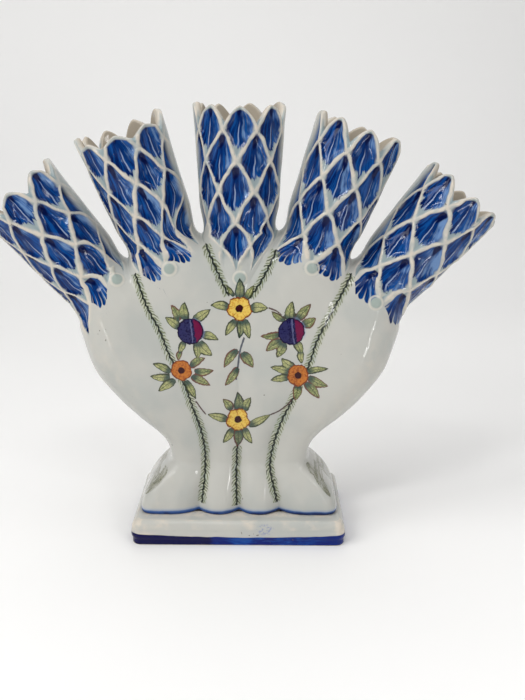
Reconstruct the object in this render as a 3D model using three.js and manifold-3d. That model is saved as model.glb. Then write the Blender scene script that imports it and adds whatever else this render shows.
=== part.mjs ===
// Tulip vase: five fanned spouts on a lobed body, with a flared foot and a rectangular plinth.
// Millimetres. Origin on the table under the middle, +X along the fan, -Y is the front, +Z up.
import * as THREE from 'three';
import { mergeVertices } from 'three/addons/utils/BufferGeometryUtils.js';
import Module from 'manifold-3d';

const wasm = await Module();
wasm.setup();

const { degToRad, lerp, clamp, mapLinear } = THREE.MathUtils;

// Fan of spouts, measured from the point where all five axes meet
const FAN_HEIGHT = 41.5;
const FAN_PITCH = degToRad(20);
const RIM_RADIUS = 158.5;
const NOTCH_RADIUS = 103.7;
const NOTCH_ROUND = 2.2;
const NOTCH_GAP = 3.9;
const RIM_GAP = 16.2;
const SEAT_LAND = 2.4;
const SPOUT_ROOT_DEPTH = 35;
const SPOUT_RIM_DEPTH = 36.8;

// Walls and the slip joints that lute the members together
const WALL = 3.6;
const RIM_WALL = 2.6;
const WEB_THICKNESS = 6;
const LUTE_GAP = 0.3;
const CUT_OVERRUN = 1;

// Net of raised ribs round each spout, and the petals that it makes of the rim
const NET_COLUMNS = 8;
const PETAL_HEIGHT = 8.5;
const TOP_ROW_DROP = 11.5;
const TOP_ROW_PITCH = 13;
const ROW_PITCH = 12;
const NET_RELIEF = 1.3;
const RIB_SHARE = 0.4;
const MIDRIB_HEIGHT = 0.7;
const MIDRIB_SHARE = 0.25;
const PETAL_ROUNDNESS = 0.7;
const RIM_CROWN = 0.5;
const RIM_ROW_PLACE = 0.46;
const NECK_WALL_SHARE = 0.4;
const NEAREST_ROW = 1;

// Belly levels, from the waist (0) to the bottoms of the gaps (1): width, side and middle heights
const WAIST_HEIGHT = 35;
const WAIST_WIDTH = 68.4;
const BELLY_OUTLINE = [
  [0, 0, 0],
  [0.073, 0.109, 0.1],
  [0.214, 0.196, 0.182],
  [0.423, 0.3, 0.3],
  [0.623, 0.421, 0.427],
  [0.807, 0.597, 0.608],
  [0.907, 0.816, 0.799],
  [0.918, 0.905, 0.898],
];

// The same levels: share of the depth, then the outer groove's place and depth as shares
const BODY_DEPTH = 46;
const BELLY_DEPTH = [
  [0.739, 0.455, 0.84],
  [0.796, 0.42, 0.86],
  [0.861, 0.405, 0.9],
  [0.948, 0.42, 0.93],
  [1, 0.44, 0.94],
  [0.983, 0.49, 0.94],
  [0.896, 0.565, 0.92],
  [0.822, 0.592, 0.91],
];
const WAIST_END_POWER = 3;
const CENTRE_APEX_RADIUS = 73;
const CENTRE_SWELL = 18;
const GROOVE_RUN = 30;
const GROOVE_ROUND_POWER = 2.2;

// Foot, from the plinth up to the waist
const PLINTH_HEIGHT = 11.9;
const FOOT_WIDTH = 94.6;
const FOOT_DEPTH = 45.6;
const FOOT_GROOVE_PLACE = 0.407;
const FOOT_GROOVE_DEPTH = 0.8;
const FOOT_END_POWER = 6;
const FOOT_EDGE_ROUND = 1.6;
const FOOT_EDGE_TUCK = 1;

// Plinth
const PLINTH_WIDTH = 100.8;
const PLINTH_DEPTH = 61;
const PLINTH_CORNER = 4.5;
const PLINTH_ARRIS = 0.4;
const PLINTH_SHOULDER_HEIGHT = 7.4;
const PLINTH_SHOULDER = 3.4;
const BAND_HEIGHT = 4.2;
const BAND_UNDERCUT = 1.3;
const BAND_LIP = 0.8;
const FLOOR_HEIGHT = 5;
const RECESS_DEPTH = 1.2;
const FOOT_RING_WIDTH = 7;

// Beads at the foot of each spout's net, their places as shares of the way to the gaps
const BEAD_RADIUS = 3.1;
const BEAD_STAND = 1.5;
const BEAD_PLACES = [0.945, 0.906, 0.81, 0.906, 0.926];
const BEAD_TURNS = [45, 7, 0, 0, 0].map(degToRad);

// How finely the curved faces are cut
const SPOUT_SIDES = NET_COLUMNS * 4;
const OUTER_LOBE_STEPS = 8;
const INNER_LOBE_STEPS = 5;
const LOWER_ROWS = 8;
const UPPER_ROWS = 6;
const COLLAR_ROWS = 2;
const FOOT_ROWS = 6;
const CORNER_STEPS = 5;
const UPPER_ROW_BUNCHING = 1.6;
const COLLAR_ROW_BUNCHING = 1.3;

const SPOUT_NAMES = [
  'spout_far_left',
  'spout_left',
  'spout_centre',
  'spout_right',
  'spout_far_right',
];

// Small hand-made turns of each spout's net about its own axis
const NET_TURNS = [1, 1, 1, 11, 9].map(degToRad);

// Glaze
const WHITE_GLAZE = 0xe4e4df;
const COBALT_GLAZE = 0x2c4f9e;
const GLAZE_ROUGHNESS = 0.16;

const LAST_LOBE = SPOUT_NAMES.length - 1;
const MIDDLE_LOBE = LAST_LOBE / 2;
const HALF_PITCH_SLOPE = Math.tan(FAN_PITCH / 2);
const SEAT_RADIUS = NOTCH_RADIUS + NOTCH_ROUND + SEAT_LAND;
const QUARTER = Math.PI / 2;

// The outer face, and the face of the hollow that lies one wall inside it
const OUTER = { inset: 0, drop: 0, lobeSteps: OUTER_LOBE_STEPS };
const INNER = { inset: WALL, drop: WEB_THICKNESS, lobeSteps: INNER_LOBE_STEPS };

// Turns a closed geometry into a solid, with its doubled points merged
function solidFrom(geometry) {
  geometry.deleteAttribute('normal');
  geometry.deleteAttribute('uv');
  const merged = mergeVertices(geometry, 1e-4);
  const kept = [];
  const index = merged.index.array;
  for (let i = 0; i < index.length; i += 3) {
    const [a, b, c] = [index[i], index[i + 1], index[i + 2]];
    if (a !== b && b !== c && c !== a) {
      kept.push(a, b, c);
    }
  }
  return new wasm.Manifold(new wasm.Mesh({
    numProp: 3,
    vertProperties: new Float32Array(merged.attributes.position.array),
    triVerts: new Uint32Array(kept),
  }));
}

function solidOf(points, triangles) {
  const geometry = new THREE.BufferGeometry();
  geometry.setAttribute('position', new THREE.Float32BufferAttribute(points.flat(), 3));
  geometry.setIndex(triangles.flat());
  return solidFrom(geometry);
}

function geometryOf(solid) {
  const mesh = solid.getMesh();
  const geometry = new THREE.BufferGeometry();
  geometry.setAttribute('position', new THREE.BufferAttribute(mesh.vertProperties, 3));
  geometry.setIndex(new THREE.BufferAttribute(mesh.triVerts, 1));
  geometry.computeVertexNormals();
  return geometry;
}

function boxSolid(low, high) {
  const size = high.map((value, axis) => value - low[axis]);
  const box = new THREE.BoxGeometry(...size);
  box.translate(...low.map((value, axis) => value + size[axis] / 2));
  return solidFrom(box);
}

// Joins rings of equal length, lowest first and anticlockwise from above, into a capped solid
function loftSolid(rings) {
  const sides = rings[0].length;
  const points = rings.flat();
  const triangles = [];
  for (let ring = 0; ring < rings.length - 1; ring++) {
    for (let side = 0; side < sides; side++) {
      const next = (side + 1) % sides;
      const low = ring * sides;
      const high = low + sides;
      triangles.push([low + side, low + next, high + next], [low + side, high + next, high + side]);
    }
  }
  const top = (rings.length - 1) * sides;
  const floorCentre = points.push(centreOf(rings[0])) - 1;
  const topCentre = points.push(centreOf(rings[rings.length - 1])) - 1;
  for (let side = 0; side < sides; side++) {
    const next = (side + 1) % sides;
    triangles.push([floorCentre, next, side], [topCentre, top + side, top + next]);
  }
  return solidOf(points, triangles);
}

function centreOf(ring) {
  return [0, 1, 2].map((axis) => ring.reduce((sum, point) => sum + point[axis], 0) / ring.length);
}

// Half width of a spout along its straight side
function straightHalfWidth(radius, skin) {
  const root = NOTCH_RADIUS * HALF_PITCH_SLOPE - NOTCH_GAP / 2;
  const rim = RIM_RADIUS * HALF_PITCH_SLOPE - RIM_GAP / 2;
  return mapLinear(radius, NOTCH_RADIUS, RIM_RADIUS, root, rim) - skin.inset;
}

// The same towards a neighbour, rounded out to meet it at the bottom of the gap
function neighbourHalfWidth(radius, skin) {
  const reach = radius * HALF_PITCH_SLOPE;
  const rise = (radius - NOTCH_RADIUS + skin.drop) / (NOTCH_ROUND + skin.drop);
  const opened = rise < 1 ? Math.sqrt(1 - (1 - rise) ** 2) : 1;
  return reach - (reach - straightHalfWidth(radius, skin)) * opened;
}

function spoutHalfDepth(radius, skin) {
  const depth = mapLinear(radius, NOTCH_RADIUS, RIM_RADIUS, SPOUT_ROOT_DEPTH, SPOUT_RIM_DEPTH);
  return depth / 2 - skin.inset;
}

function smoothCurve(rows) {
  const points = rows.map((row) => new THREE.Vector3(...row));
  return new THREE.CatmullRomCurve3(points, false, 'catmullrom');
}

// Moves the belly's outline inwards by the wall, square to the outline
function insetOutline(rows, inset) {
  return rows.map(([width, side, middle], level) => {
    const before = rows[Math.max(level - 1, 0)];
    const after = rows[Math.min(level + 1, rows.length - 1)];
    const run = after[0] - before[0];
    const climb = after[1] - before[1];
    const length = Math.hypot(run, climb);
    const upright = level === 0 ? 1 : climb / length;
    const lean = level === 0 ? 0 : run / length;
    return [width - inset * upright, side + inset * lean, middle];
  });
}

// Half the angle of the arc across the whole fan, at a radius
function fanSweep(skin, radius) {
  return MIDDLE_LOBE * FAN_PITCH + Math.atan(straightHalfWidth(radius, skin) / radius);
}

// The body's top row: half width, height at its side and height at its middle
function topRow(skin, radius) {
  const sweep = fanSweep(skin, radius);
  return [radius * Math.sin(sweep), FAN_HEIGHT + radius * Math.cos(sweep), FAN_HEIGHT + radius];
}

// The belly's outer rows, spread between the waist and the bottoms of the gaps
function bellyRows() {
  const waist = [WAIST_WIDTH / 2, WAIST_HEIGHT, WAIST_HEIGHT];
  const top = topRow(OUTER, NOTCH_RADIUS);
  return BELLY_OUTLINE.map((shares) => shares.map((share, i) => lerp(waist[i], top[i], share)));
}

// The curves that give the body's size at every level, up to the bottoms of the gaps
function bodyCurves(skin) {
  const radius = NOTCH_RADIUS - skin.drop;
  const sweep = fanSweep(skin, radius);
  const top = topRow(skin, radius);
  const grooveShare = (MIDDLE_LOBE - 0.5) * FAN_PITCH / sweep;
  const depth = spoutHalfDepth(radius, OUTER) * 2 / BODY_DEPTH;
  const grooveDepth = BELLY_DEPTH[BELLY_DEPTH.length - 1][2];
  return {
    outline: smoothCurve([...insetOutline(bellyRows(), skin.inset), top]),
    section: smoothCurve([...BELLY_DEPTH, [depth, grooveShare, grooveDepth]]),
    notchRadius: radius,
    innerShare: FAN_PITCH / 2 / sweep,
  };
}

// Finds the place along the curves where the body's middle is at a given height
function placeAtHeight(curves, height) {
  let low = 0;
  let high = 1;
  for (let i = 0; i < 40; i++) {
    const middle = (low + high) / 2;
    if (curves.outline.getPoint(middle).z < height) {
      low = middle;
    } else {
      high = middle;
    }
  }
  return (low + high) / 2;
}

// One level of the body: a lobed ring bent along an arc across the fan
function bodyLevel(skin, curves, height) {
  const place = placeAtHeight(curves, height);
  const outline = curves.outline.getPoint(place);
  const section = curves.section.getPoint(place);
  const radius = height - FAN_HEIGHT;
  const closing = clamp((radius - curves.notchRadius + GROOVE_RUN) / GROOVE_RUN, 0, 1);
  const apexRise = Math.max(radius - CENTRE_APEX_RADIUS, 0);
  const opening = apexRise / (curves.notchRadius - CENTRE_APEX_RADIUS);
  const halfDepth = section.x * BODY_DEPTH / 2;
  const crest = halfDepth - skin.inset;
  const openDepth = halfDepth * section.z - skin.inset;
  const groove = openDepth * Math.sqrt(1 - closing ** GROOVE_ROUND_POWER);
  return {
    halfWidth: outline.x,
    middle: height,
    sweep: 2 * Math.atan((height - outline.y) / outline.x),
    edges: [-1, -section.y, -curves.innerShare * opening, curves.innerShare * opening, section.y, 1],
    grooves: [0, groove, groove, groove, groove, 0],
    crest,
    centreCrest: lerp(groove, crest, clamp(apexRise / CENTRE_SWELL, 0, 1)),
    endPower: 2 + (WAIST_END_POWER - 2) * (1 - place) ** 3,
  };
}

// One level of the foot: the same lobes, flat and wider
function footLevel(skin, height) {
  const climb = clamp((height - PLINTH_HEIGHT) / (WAIST_HEIGHT - PLINTH_HEIGHT), 0, 1);
  const flare = Math.cos(climb * QUARTER);
  const edge = clamp((PLINTH_HEIGHT + FOOT_EDGE_ROUND - height) / FOOT_EDGE_ROUND, 0, 1);
  const tuck = FOOT_EDGE_TUCK * (1 - Math.sqrt(1 - edge ** 2)) + skin.inset;
  const share = lerp(BELLY_DEPTH[0][1], FOOT_GROOVE_PLACE, flare);
  const crest = lerp(BELLY_DEPTH[0][0] * BODY_DEPTH, FOOT_DEPTH, flare) / 2;
  const groove = crest * lerp(BELLY_DEPTH[0][2], FOOT_GROOVE_DEPTH, flare) - tuck;
  return {
    halfWidth: lerp(WAIST_WIDTH, FOOT_WIDTH, flare) / 2 - tuck,
    middle: height,
    sweep: 0,
    edges: [-1, -share, 0, 0, share, 1],
    grooves: [0, groove, groove, groove, groove, 0],
    crest: crest - tuck,
    centreCrest: groove,
    endPower: lerp(WAIST_END_POWER, FOOT_END_POWER, flare),
  };
}

// A point of a level: lobe number, angle round the lobe from side to side, front or back
function levelPoint(level, lobe, angle, facing) {
  const across = Math.sin(angle);
  const along = Math.cos(angle);
  const left = level.edges[lobe];
  const right = level.edges[lobe + 1];
  const crest = lobe === MIDDLE_LOBE ? level.centreCrest : level.crest;
  let place = (left + right) / 2 + (right - left) / 2 * across;
  let depth = Math.hypot(crest * along, level.grooves[across < 0 ? lobe : lobe + 1] * across);
  if ((lobe === 0 && across < 0) || (lobe === LAST_LOBE && across > 0)) {
    const power = 2 / level.endPower;
    const reach = Math.sign(across) * Math.abs(across) ** power;
    place = (left + right) / 2 + (right - left) / 2 * reach;
    depth = crest * Math.max(along, 0) ** power;
  }
  if (Math.abs(across) === 1) {
    depth = level.grooves[across < 0 ? lobe : lobe + 1];
  }
  if (level.sweep < 1e-6) {
    return [level.halfWidth * place, facing * depth, level.middle];
  }
  const bend = level.halfWidth / Math.sin(level.sweep);
  const turn = level.sweep * place;
  return [bend * Math.sin(turn), facing * depth, level.middle - bend * (1 - Math.cos(turn))];
}

// A point of a collar, between the bottoms of the gaps and the flat seat of a spout
function collarPoint(skin, lobe, radius, angle, facing) {
  const across = Math.sin(angle);
  const outside = (lobe === 0 && across < 0) || (lobe === LAST_LOBE && across > 0);
  const half = outside ? straightHalfWidth(radius, skin) : neighbourHalfWidth(radius, skin);
  const offset = half * across;
  const lean = (lobe - MIDDLE_LOBE) * FAN_PITCH;
  const flatness = clamp((radius - NOTCH_RADIUS) / (SEAT_RADIUS - NOTCH_RADIUS), 0, 1);
  const turn = lean + Math.atan(offset / radius);
  const bent = [radius * Math.sin(turn), radius * Math.cos(turn)];
  const flat = [
    radius * Math.sin(lean) + offset * Math.cos(lean),
    radius * Math.cos(lean) - offset * Math.sin(lean),
  ];
  const depth = Math.abs(across) === 1 ? 0 : spoutHalfDepth(radius, skin) * Math.cos(angle);
  return [
    lerp(bent[0], flat[0], flatness),
    facing * depth,
    FAN_HEIGHT + lerp(bent[1], flat[1], flatness),
  ];
}

// Heights of the body's levels, closer together towards the gaps
function bodyHeights(curves) {
  const apex = FAN_HEIGHT + CENTRE_APEX_RADIUS;
  const notch = FAN_HEIGHT + curves.notchRadius;
  const heights = [];
  for (let i = 0; i < LOWER_ROWS; i++) {
    heights.push(lerp(WAIST_HEIGHT, apex, i / LOWER_ROWS));
  }
  for (let i = 0; i <= UPPER_ROWS; i++) {
    heights.push(lerp(apex, notch, 1 - (1 - i / UPPER_ROWS) ** UPPER_ROW_BUNCHING));
  }
  return heights;
}

function lobeAngles(skin) {
  const steps = skin.lobeSteps;
  return Array.from({ length: steps + 1 }, (_, i) => (2 * i - steps) / steps * QUARTER);
}

// Closed solid of one skin of the body, from the waist to the five seats
function bodySolid(skin, overrun) {
  const curves = bodyCurves(skin);
  const angles = lobeAngles(skin);
  const levels = bodyHeights(curves).map((height) => bodyLevel(skin, curves, height));
  const collarTop = SEAT_RADIUS + overrun;
  const points = [];
  const triangles = [];
  const put = (point) => points.push(point) - 1;
  const rowOf = (make) => angles.map((angle) => put(make(angle)));
  const tops = [];
  const floors = { front: [], back: [] };
  for (let lobe = 0; lobe <= LAST_LOBE; lobe++) {
    const top = {};
    for (const [name, facing] of [['front', -1], ['back', 1]]) {
      const first = levels[0];
      const rows = levels.map((level) => rowOf((angle) => levelPoint(level, lobe, angle, facing)));
      if (overrun > 0) {
        const lowered = { ...first, middle: first.middle - overrun };
        rows.unshift(rowOf((angle) => levelPoint(lowered, lobe, angle, facing)));
      }
      for (let i = 1; i <= COLLAR_ROWS + 1; i++) {
        const climb = (i / (COLLAR_ROWS + 1)) ** COLLAR_ROW_BUNCHING;
        const radius = lerp(curves.notchRadius, collarTop, climb);
        rows.push(rowOf((angle) => collarPoint(skin, lobe, radius, angle, facing)));
      }
      for (let row = 0; row < rows.length - 1; row++) {
        for (let i = 0; i < angles.length - 1; i++) {
          const quad = [rows[row][i], rows[row][i + 1], rows[row + 1][i + 1], rows[row + 1][i]];
          const [a, b, c, d] = facing < 0 ? quad : quad.reverse();
          triangles.push([a, b, c], [a, c, d]);
        }
      }
      floors[name].push(...rows[0]);
      top[name] = rows[rows.length - 1];
    }
    tops.push(top);
  }
  const floorCentre = put([0, 0, WAIST_HEIGHT - overrun]);
  for (let i = 0; i < floors.front.length - 1; i++) {
    triangles.push([floorCentre, floors.front[i + 1], floors.front[i]]);
    triangles.push([floorCentre, floors.back[i], floors.back[i + 1]]);
  }
  tops.forEach((top, lobe) => {
    const lean = (lobe - MIDDLE_LOBE) * FAN_PITCH;
    const middle = [collarTop * Math.sin(lean), 0, FAN_HEIGHT + collarTop * Math.cos(lean)];
    const centre = put(middle);
    for (let i = 0; i < angles.length - 1; i++) {
      triangles.push([centre, top.front[i], top.front[i + 1]]);
      triangles.push([centre, top.back[i + 1], top.back[i]]);
    }
  });
  return solidOf(points, triangles);
}

// A low dome that sits on the body below a spout's net
function beadSolid(lobe, facing) {
  const curves = bodyCurves(OUTER);
  const level = bodyLevel(OUTER, curves, FAN_HEIGHT + NOTCH_RADIUS * BEAD_PLACES[lobe]);
  const [x, y, z] = levelPoint(level, lobe, BEAD_TURNS[lobe], facing);
  const bead = new THREE.SphereGeometry(1, 12, 8);
  bead.rotateX(QUARTER);
  bead.scale(BEAD_RADIUS, BEAD_STAND, BEAD_RADIUS);
  bead.translate(x, y, z);
  return solidFrom(bead);
}

// The body's two moulded halves, which meet on the plane through both sides
function bodyHalves() {
  const hollow = bodySolid(INNER, CUT_OVERRUN);
  const shell = bodySolid(OUTER, 0).subtract(hollow);
  const reach = RIM_RADIUS * 2;
  const frontSpace = boxSolid([-reach, -reach, 0], [reach, 0, reach]);
  const backSpace = boxSolid([-reach, 0, 0], [reach, reach, reach]);
  const solids = [];
  for (const [space, facing] of [[frontSpace, -1], [backSpace, 1]]) {
    let half = shell.intersect(space);
    for (let lobe = 0; lobe <= LAST_LOBE; lobe++) {
      half = half.add(beadSolid(lobe, facing).subtract(hollow));
    }
    solids.push(half);
  }
  return solids;
}

// Rows of the net, as radii from the fan's centre down from the rim
function netRow(radius) {
  const first = RIM_RADIUS - TOP_ROW_DROP;
  if (radius > first - TOP_ROW_PITCH) {
    return (first - radius) / TOP_ROW_PITCH;
  }
  return 1 + (first - TOP_ROW_PITCH - radius) / ROW_PITCH;
}

function rowRadius(row) {
  const first = RIM_RADIUS - TOP_ROW_DROP;
  return row < 1 ? first - row * TOP_ROW_PITCH : first - TOP_ROW_PITCH - (row - 1) * ROW_PITCH;
}

// How far the face lies below the ribs: a leaf-shaped hollow with a raised midrib in each mesh
function netDepth(angle, radius) {
  const column = angle / (2 * Math.PI) * NET_COLUMNS;
  const row = netRow(radius);
  let nearest = { spread: Infinity, across: 0 };
  for (const wanted of [Math.floor(row), Math.floor(row) + 1]) {
    const shift = wanted % 2 === 0 ? 0 : 0.5;
    const across = Math.abs(column - shift - Math.round(column - shift)) * 2;
    const spread = across + Math.abs(row - wanted);
    if (spread < nearest.spread) {
      nearest = { spread, across };
    }
  }
  const hollow = clamp((1 - nearest.spread) / RIB_SHARE, 0, 1) * NET_RELIEF;
  const midrib = clamp(1 - nearest.across / MIDRIB_SHARE, 0, 1) * MIDRIB_HEIGHT;
  return Math.max(hollow - midrib, 0);
}

// How far the rim drops below a petal's tip, at an angle round the spout
function petalDrop(angle) {
  const column = angle / (2 * Math.PI) * NET_COLUMNS;
  const across = Math.abs(column - Math.round(column)) * 2;
  return PETAL_HEIGHT * lerp(across, 1 - Math.cos(across * QUARTER), PETAL_ROUNDNESS);
}

// A point of a spout's wall, the axis upright and the front towards -Y
function spoutPoint(angle, radius, inset) {
  const half = straightHalfWidth(radius, OUTER) - inset;
  const depth = spoutHalfDepth(radius, OUTER) - inset;
  return [half * Math.sin(angle), -depth * Math.cos(angle), radius];
}

// One spout, from its seat to its petalled rim
function spoutSolid(turn) {
  const angles = Array.from({ length: SPOUT_SIDES }, (_, i) => i / SPOUT_SIDES * 2 * Math.PI);
  const seat = SEAT_RADIUS + LUTE_GAP;
  const lastRow = Math.floor(netRow(seat) * 2) / 2;
  const plainRows = [];
  for (let row = lastRow; row >= 0.5; row -= 0.5) {
    plainRows.push(rowRadius(row));
  }
  const neck = plainRows[plainRows.length - 1];
  const ring = (make) => angles.map((angle) => make(angle + turn, angle));
  const reliefPoint = (world, own, radius) => spoutPoint(world, radius, netDepth(own, radius));
  const rings = [ring((world, own) => reliefPoint(world, own, seat))];
  for (const radius of plainRows) {
    if (radius > seat + NEAREST_ROW) {
      rings.push(ring((world, own) => reliefPoint(world, own, radius)));
    }
  }
  const rimAt = (own) => RIM_RADIUS - petalDrop(own);
  rings.push(ring((world, own) => {
    const radius = lerp(neck, rimAt(own), RIM_ROW_PLACE);
    const midway = lerp(neck, RIM_RADIUS, RIM_ROW_PLACE);
    return spoutPoint(world, radius, netDepth(own, midway));
  }));
  rings.push(ring((world, own) => spoutPoint(world, rimAt(own) - RIM_CROWN, 0)));
  rings.push(ring((world, own) => spoutPoint(world, rimAt(own), RIM_WALL / 2)));
  rings.push(ring((world, own) => spoutPoint(world, rimAt(own) - RIM_CROWN, RIM_WALL)));
  rings.push(ring((world, own) => spoutPoint(world, neck, lerp(RIM_WALL, WALL, NECK_WALL_SHARE))));
  rings.push(ring((world) => spoutPoint(world, seat, WALL)));
  const points = rings.flat();
  const triangles = [];
  for (let row = 0; row < rings.length; row++) {
    for (let side = 0; side < SPOUT_SIDES; side++) {
      const next = (side + 1) % SPOUT_SIDES;
      const low = row * SPOUT_SIDES;
      const high = ((row + 1) % rings.length) * SPOUT_SIDES;
      triangles.push([low + side, low + next, high + next], [low + side, high + next, high + side]);
    }
  }
  return solidOf(points, triangles);
}

// Rings of the foot, going round the front from left to right and back again
function footRing(skin, height, atHeight) {
  const level = { ...footLevel(skin, atHeight), middle: height };
  const ring = [];
  for (const facing of [-1, 1]) {
    const lobes = [0, 1, 3, 4];
    const side = [];
    for (const lobe of lobes) {
      for (const angle of lobeAngles(skin).slice(lobe === 0 ? 0 : 1)) {
        side.push(levelPoint(level, lobe, angle, facing));
      }
    }
    if (facing > 0) {
      side.reverse();
    }
    ring.push(...side.slice(0, -1));
  }
  return ring;
}

function footSolid() {
  const heights = [PLINTH_HEIGHT, PLINTH_HEIGHT + FOOT_EDGE_ROUND / 2];
  for (let i = 0; i <= FOOT_ROWS; i++) {
    heights.push(lerp(PLINTH_HEIGHT + FOOT_EDGE_ROUND, WAIST_HEIGHT, i / FOOT_ROWS));
  }
  const outside = loftSolid(heights.map((height) => footRing(OUTER, height, height)));
  const inner = [
    footRing(INNER, PLINTH_HEIGHT - CUT_OVERRUN, PLINTH_HEIGHT + FOOT_EDGE_ROUND),
    footRing(INNER, PLINTH_HEIGHT + FOOT_EDGE_ROUND, PLINTH_HEIGHT + FOOT_EDGE_ROUND),
  ];
  for (let i = 1; i <= FOOT_ROWS; i += 2) {
    const height = lerp(PLINTH_HEIGHT + FOOT_EDGE_ROUND, WAIST_HEIGHT, (i + 1) / FOOT_ROWS);
    inner.push(footRing(INNER, height, height));
  }
  inner.push(footRing(INNER, WAIST_HEIGHT + CUT_OVERRUN, WAIST_HEIGHT));
  return outside.subtract(loftSolid(inner));
}

// A rectangle with round corners, anticlockwise from above
function roundedRing(width, depth, corner, height) {
  const ring = [];
  const signs = [[1, -1], [1, 1], [-1, 1], [-1, -1]];
  signs.forEach(([alongX, alongY], quarter) => {
    for (let i = 0; i <= CORNER_STEPS; i++) {
      const angle = (quarter - 1 + i / CORNER_STEPS) * QUARTER;
      ring.push([
        alongX * (width / 2 - corner) + corner * Math.cos(angle),
        alongY * (depth / 2 - corner) + corner * Math.sin(angle),
        height,
      ]);
    }
  });
  return ring;
}

function plinthRing(inset, height) {
  const corner = PLINTH_CORNER;
  return roundedRing(PLINTH_WIDTH - 2 * inset, PLINTH_DEPTH - 2 * inset, corner, height);
}

// The plinth: a band at its base, a rounded shoulder, a well for the water and a foot ring below
function plinthSolid() {
  const rings = [
    plinthRing(BAND_UNDERCUT + PLINTH_ARRIS, 0),
    plinthRing(BAND_UNDERCUT, PLINTH_ARRIS),
    plinthRing(BAND_UNDERCUT, BAND_HEIGHT - BAND_LIP),
    plinthRing(PLINTH_ARRIS / 2, BAND_HEIGHT),
    plinthRing(0, BAND_HEIGHT + BAND_LIP),
    plinthRing(PLINTH_ARRIS, PLINTH_SHOULDER_HEIGHT),
  ];
  const shoulderRise = PLINTH_HEIGHT - PLINTH_SHOULDER_HEIGHT;
  for (let i = 1; i <= CORNER_STEPS; i++) {
    const angle = i / CORNER_STEPS * QUARTER;
    const inset = PLINTH_ARRIS + PLINTH_SHOULDER * (1 - Math.cos(angle));
    rings.push(plinthRing(inset, PLINTH_SHOULDER_HEIGHT + shoulderRise * Math.sin(angle)));
  }
  const mouth = PLINTH_HEIGHT + FOOT_EDGE_ROUND;
  const well = loftSolid([
    footRing(INNER, FLOOR_HEIGHT, mouth),
    footRing(INNER, PLINTH_HEIGHT + CUT_OVERRUN, mouth),
  ]);
  const recessInset = BAND_UNDERCUT + FOOT_RING_WIDTH;
  const recess = loftSolid([
    plinthRing(recessInset, -CUT_OVERRUN),
    plinthRing(recessInset, RECESS_DEPTH),
  ]);
  return loftSolid(rings).subtract(well).subtract(recess);
}

function glaze(colour) {
  return new THREE.MeshStandardMaterial({ color: colour, roughness: GLAZE_ROUGHNESS, metalness: 0 });
}

function named(name, geometry, colour) {
  const mesh = new THREE.Mesh(geometry, glaze(colour));
  mesh.name = name;
  return mesh;
}

const vase = new THREE.Group();
vase.add(named('plinth', geometryOf(plinthSolid()), WHITE_GLAZE));
vase.add(named('foot', geometryOf(footSolid()), WHITE_GLAZE));

const [frontHalf, backHalf] = bodyHalves();
vase.add(named('body_front', geometryOf(frontHalf), WHITE_GLAZE));
vase.add(named('body_back', geometryOf(backHalf), WHITE_GLAZE));

const fan = new THREE.Group();
fan.position.z = FAN_HEIGHT;
SPOUT_NAMES.forEach((name, lobe) => {
  const spout = named(name, geometryOf(spoutSolid(NET_TURNS[lobe])), COBALT_GLAZE);
  spout.rotation.y = (lobe - MIDDLE_LOBE) * FAN_PITCH;
  fan.add(spout);
});
vase.add(fan);

export default vase;
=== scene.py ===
import math

import bpy
import numpy as np
from mathutils import Matrix, Vector


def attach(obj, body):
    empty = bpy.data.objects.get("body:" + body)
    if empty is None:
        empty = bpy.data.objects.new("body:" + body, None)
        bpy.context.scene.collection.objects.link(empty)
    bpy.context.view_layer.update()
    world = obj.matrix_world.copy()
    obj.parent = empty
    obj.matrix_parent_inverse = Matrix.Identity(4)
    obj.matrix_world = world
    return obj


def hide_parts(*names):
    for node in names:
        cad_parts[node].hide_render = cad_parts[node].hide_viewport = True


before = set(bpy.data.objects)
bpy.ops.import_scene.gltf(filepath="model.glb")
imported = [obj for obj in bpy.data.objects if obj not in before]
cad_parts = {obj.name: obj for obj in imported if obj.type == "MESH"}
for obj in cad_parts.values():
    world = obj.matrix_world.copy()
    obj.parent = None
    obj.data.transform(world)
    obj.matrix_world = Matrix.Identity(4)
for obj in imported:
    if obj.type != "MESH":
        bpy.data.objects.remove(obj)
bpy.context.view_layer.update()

MM = 0.001

# Sizes in millimetres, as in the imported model. Only the waist and the belly's outline differ:
# they lie up to 4 mm further in, as in the photograph
FAN_HEIGHT = 41.5
FAN_PITCH = math.radians(20)
RIM_RADIUS = 158.5
NOTCH_RADIUS = 103.7
NOTCH_ROUND = 2.2
NOTCH_GAP = 3.9
RIM_GAP = 16.2
SEAT_RADIUS = NOTCH_RADIUS + NOTCH_ROUND + 2.4
SPOUT_ROOT_DEPTH = 35
SPOUT_RIM_DEPTH = 36.8
WALL = 3.6
RIM_WALL = 2.6
WEB_THICKNESS = 6
WAIST_HEIGHT = 35
WAIST_WIDTH = 65.4
BELLY_OUTLINE = [[0, 0, 0], [.042, .109, .1], [.154, .196, .182], [.369, .3, .3],
                 [.569, .421, .427], [.787, .597, .608], [.903, .816, .799], [.921, .905, .898]]
BELLY_DEPTH = [[17, .455, .84], [18.3, .42, .86], [19.8, .405, .9], [21.8, .42, .93],
               [23, .44, .94], [22.6, .49, .94], [20.6, .565, .92], [18.9, .592, .91]]
WAIST_END_POWER = 3
CENTRE_APEX_RADIUS = 73
CENTRE_SWELL = 18
GROOVE_RUN = 30
GROOVE_POWER = 3.4
PLINTH_HEIGHT = 11.9
FOOT_WIDTH = 94.6
FOOT_DEPTH = 45.6
FOOT_GROOVE_PLACE = .407
FOOT_GROOVE_DEPTH = .8
FOOT_END_POWER = 6
FOOT_EDGE_ROUND = 1.6
PLINTH_WIDTH = 100.8
PLINTH_DEPTH = 61
PLINTH_CORNER = 4.5
PLINTH_SHOULDER_HEIGHT = 7.4
PLINTH_SHOULDER = 3.4
BAND_HEIGHT = 3.5
FLOOR_HEIGHT = 5
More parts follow.
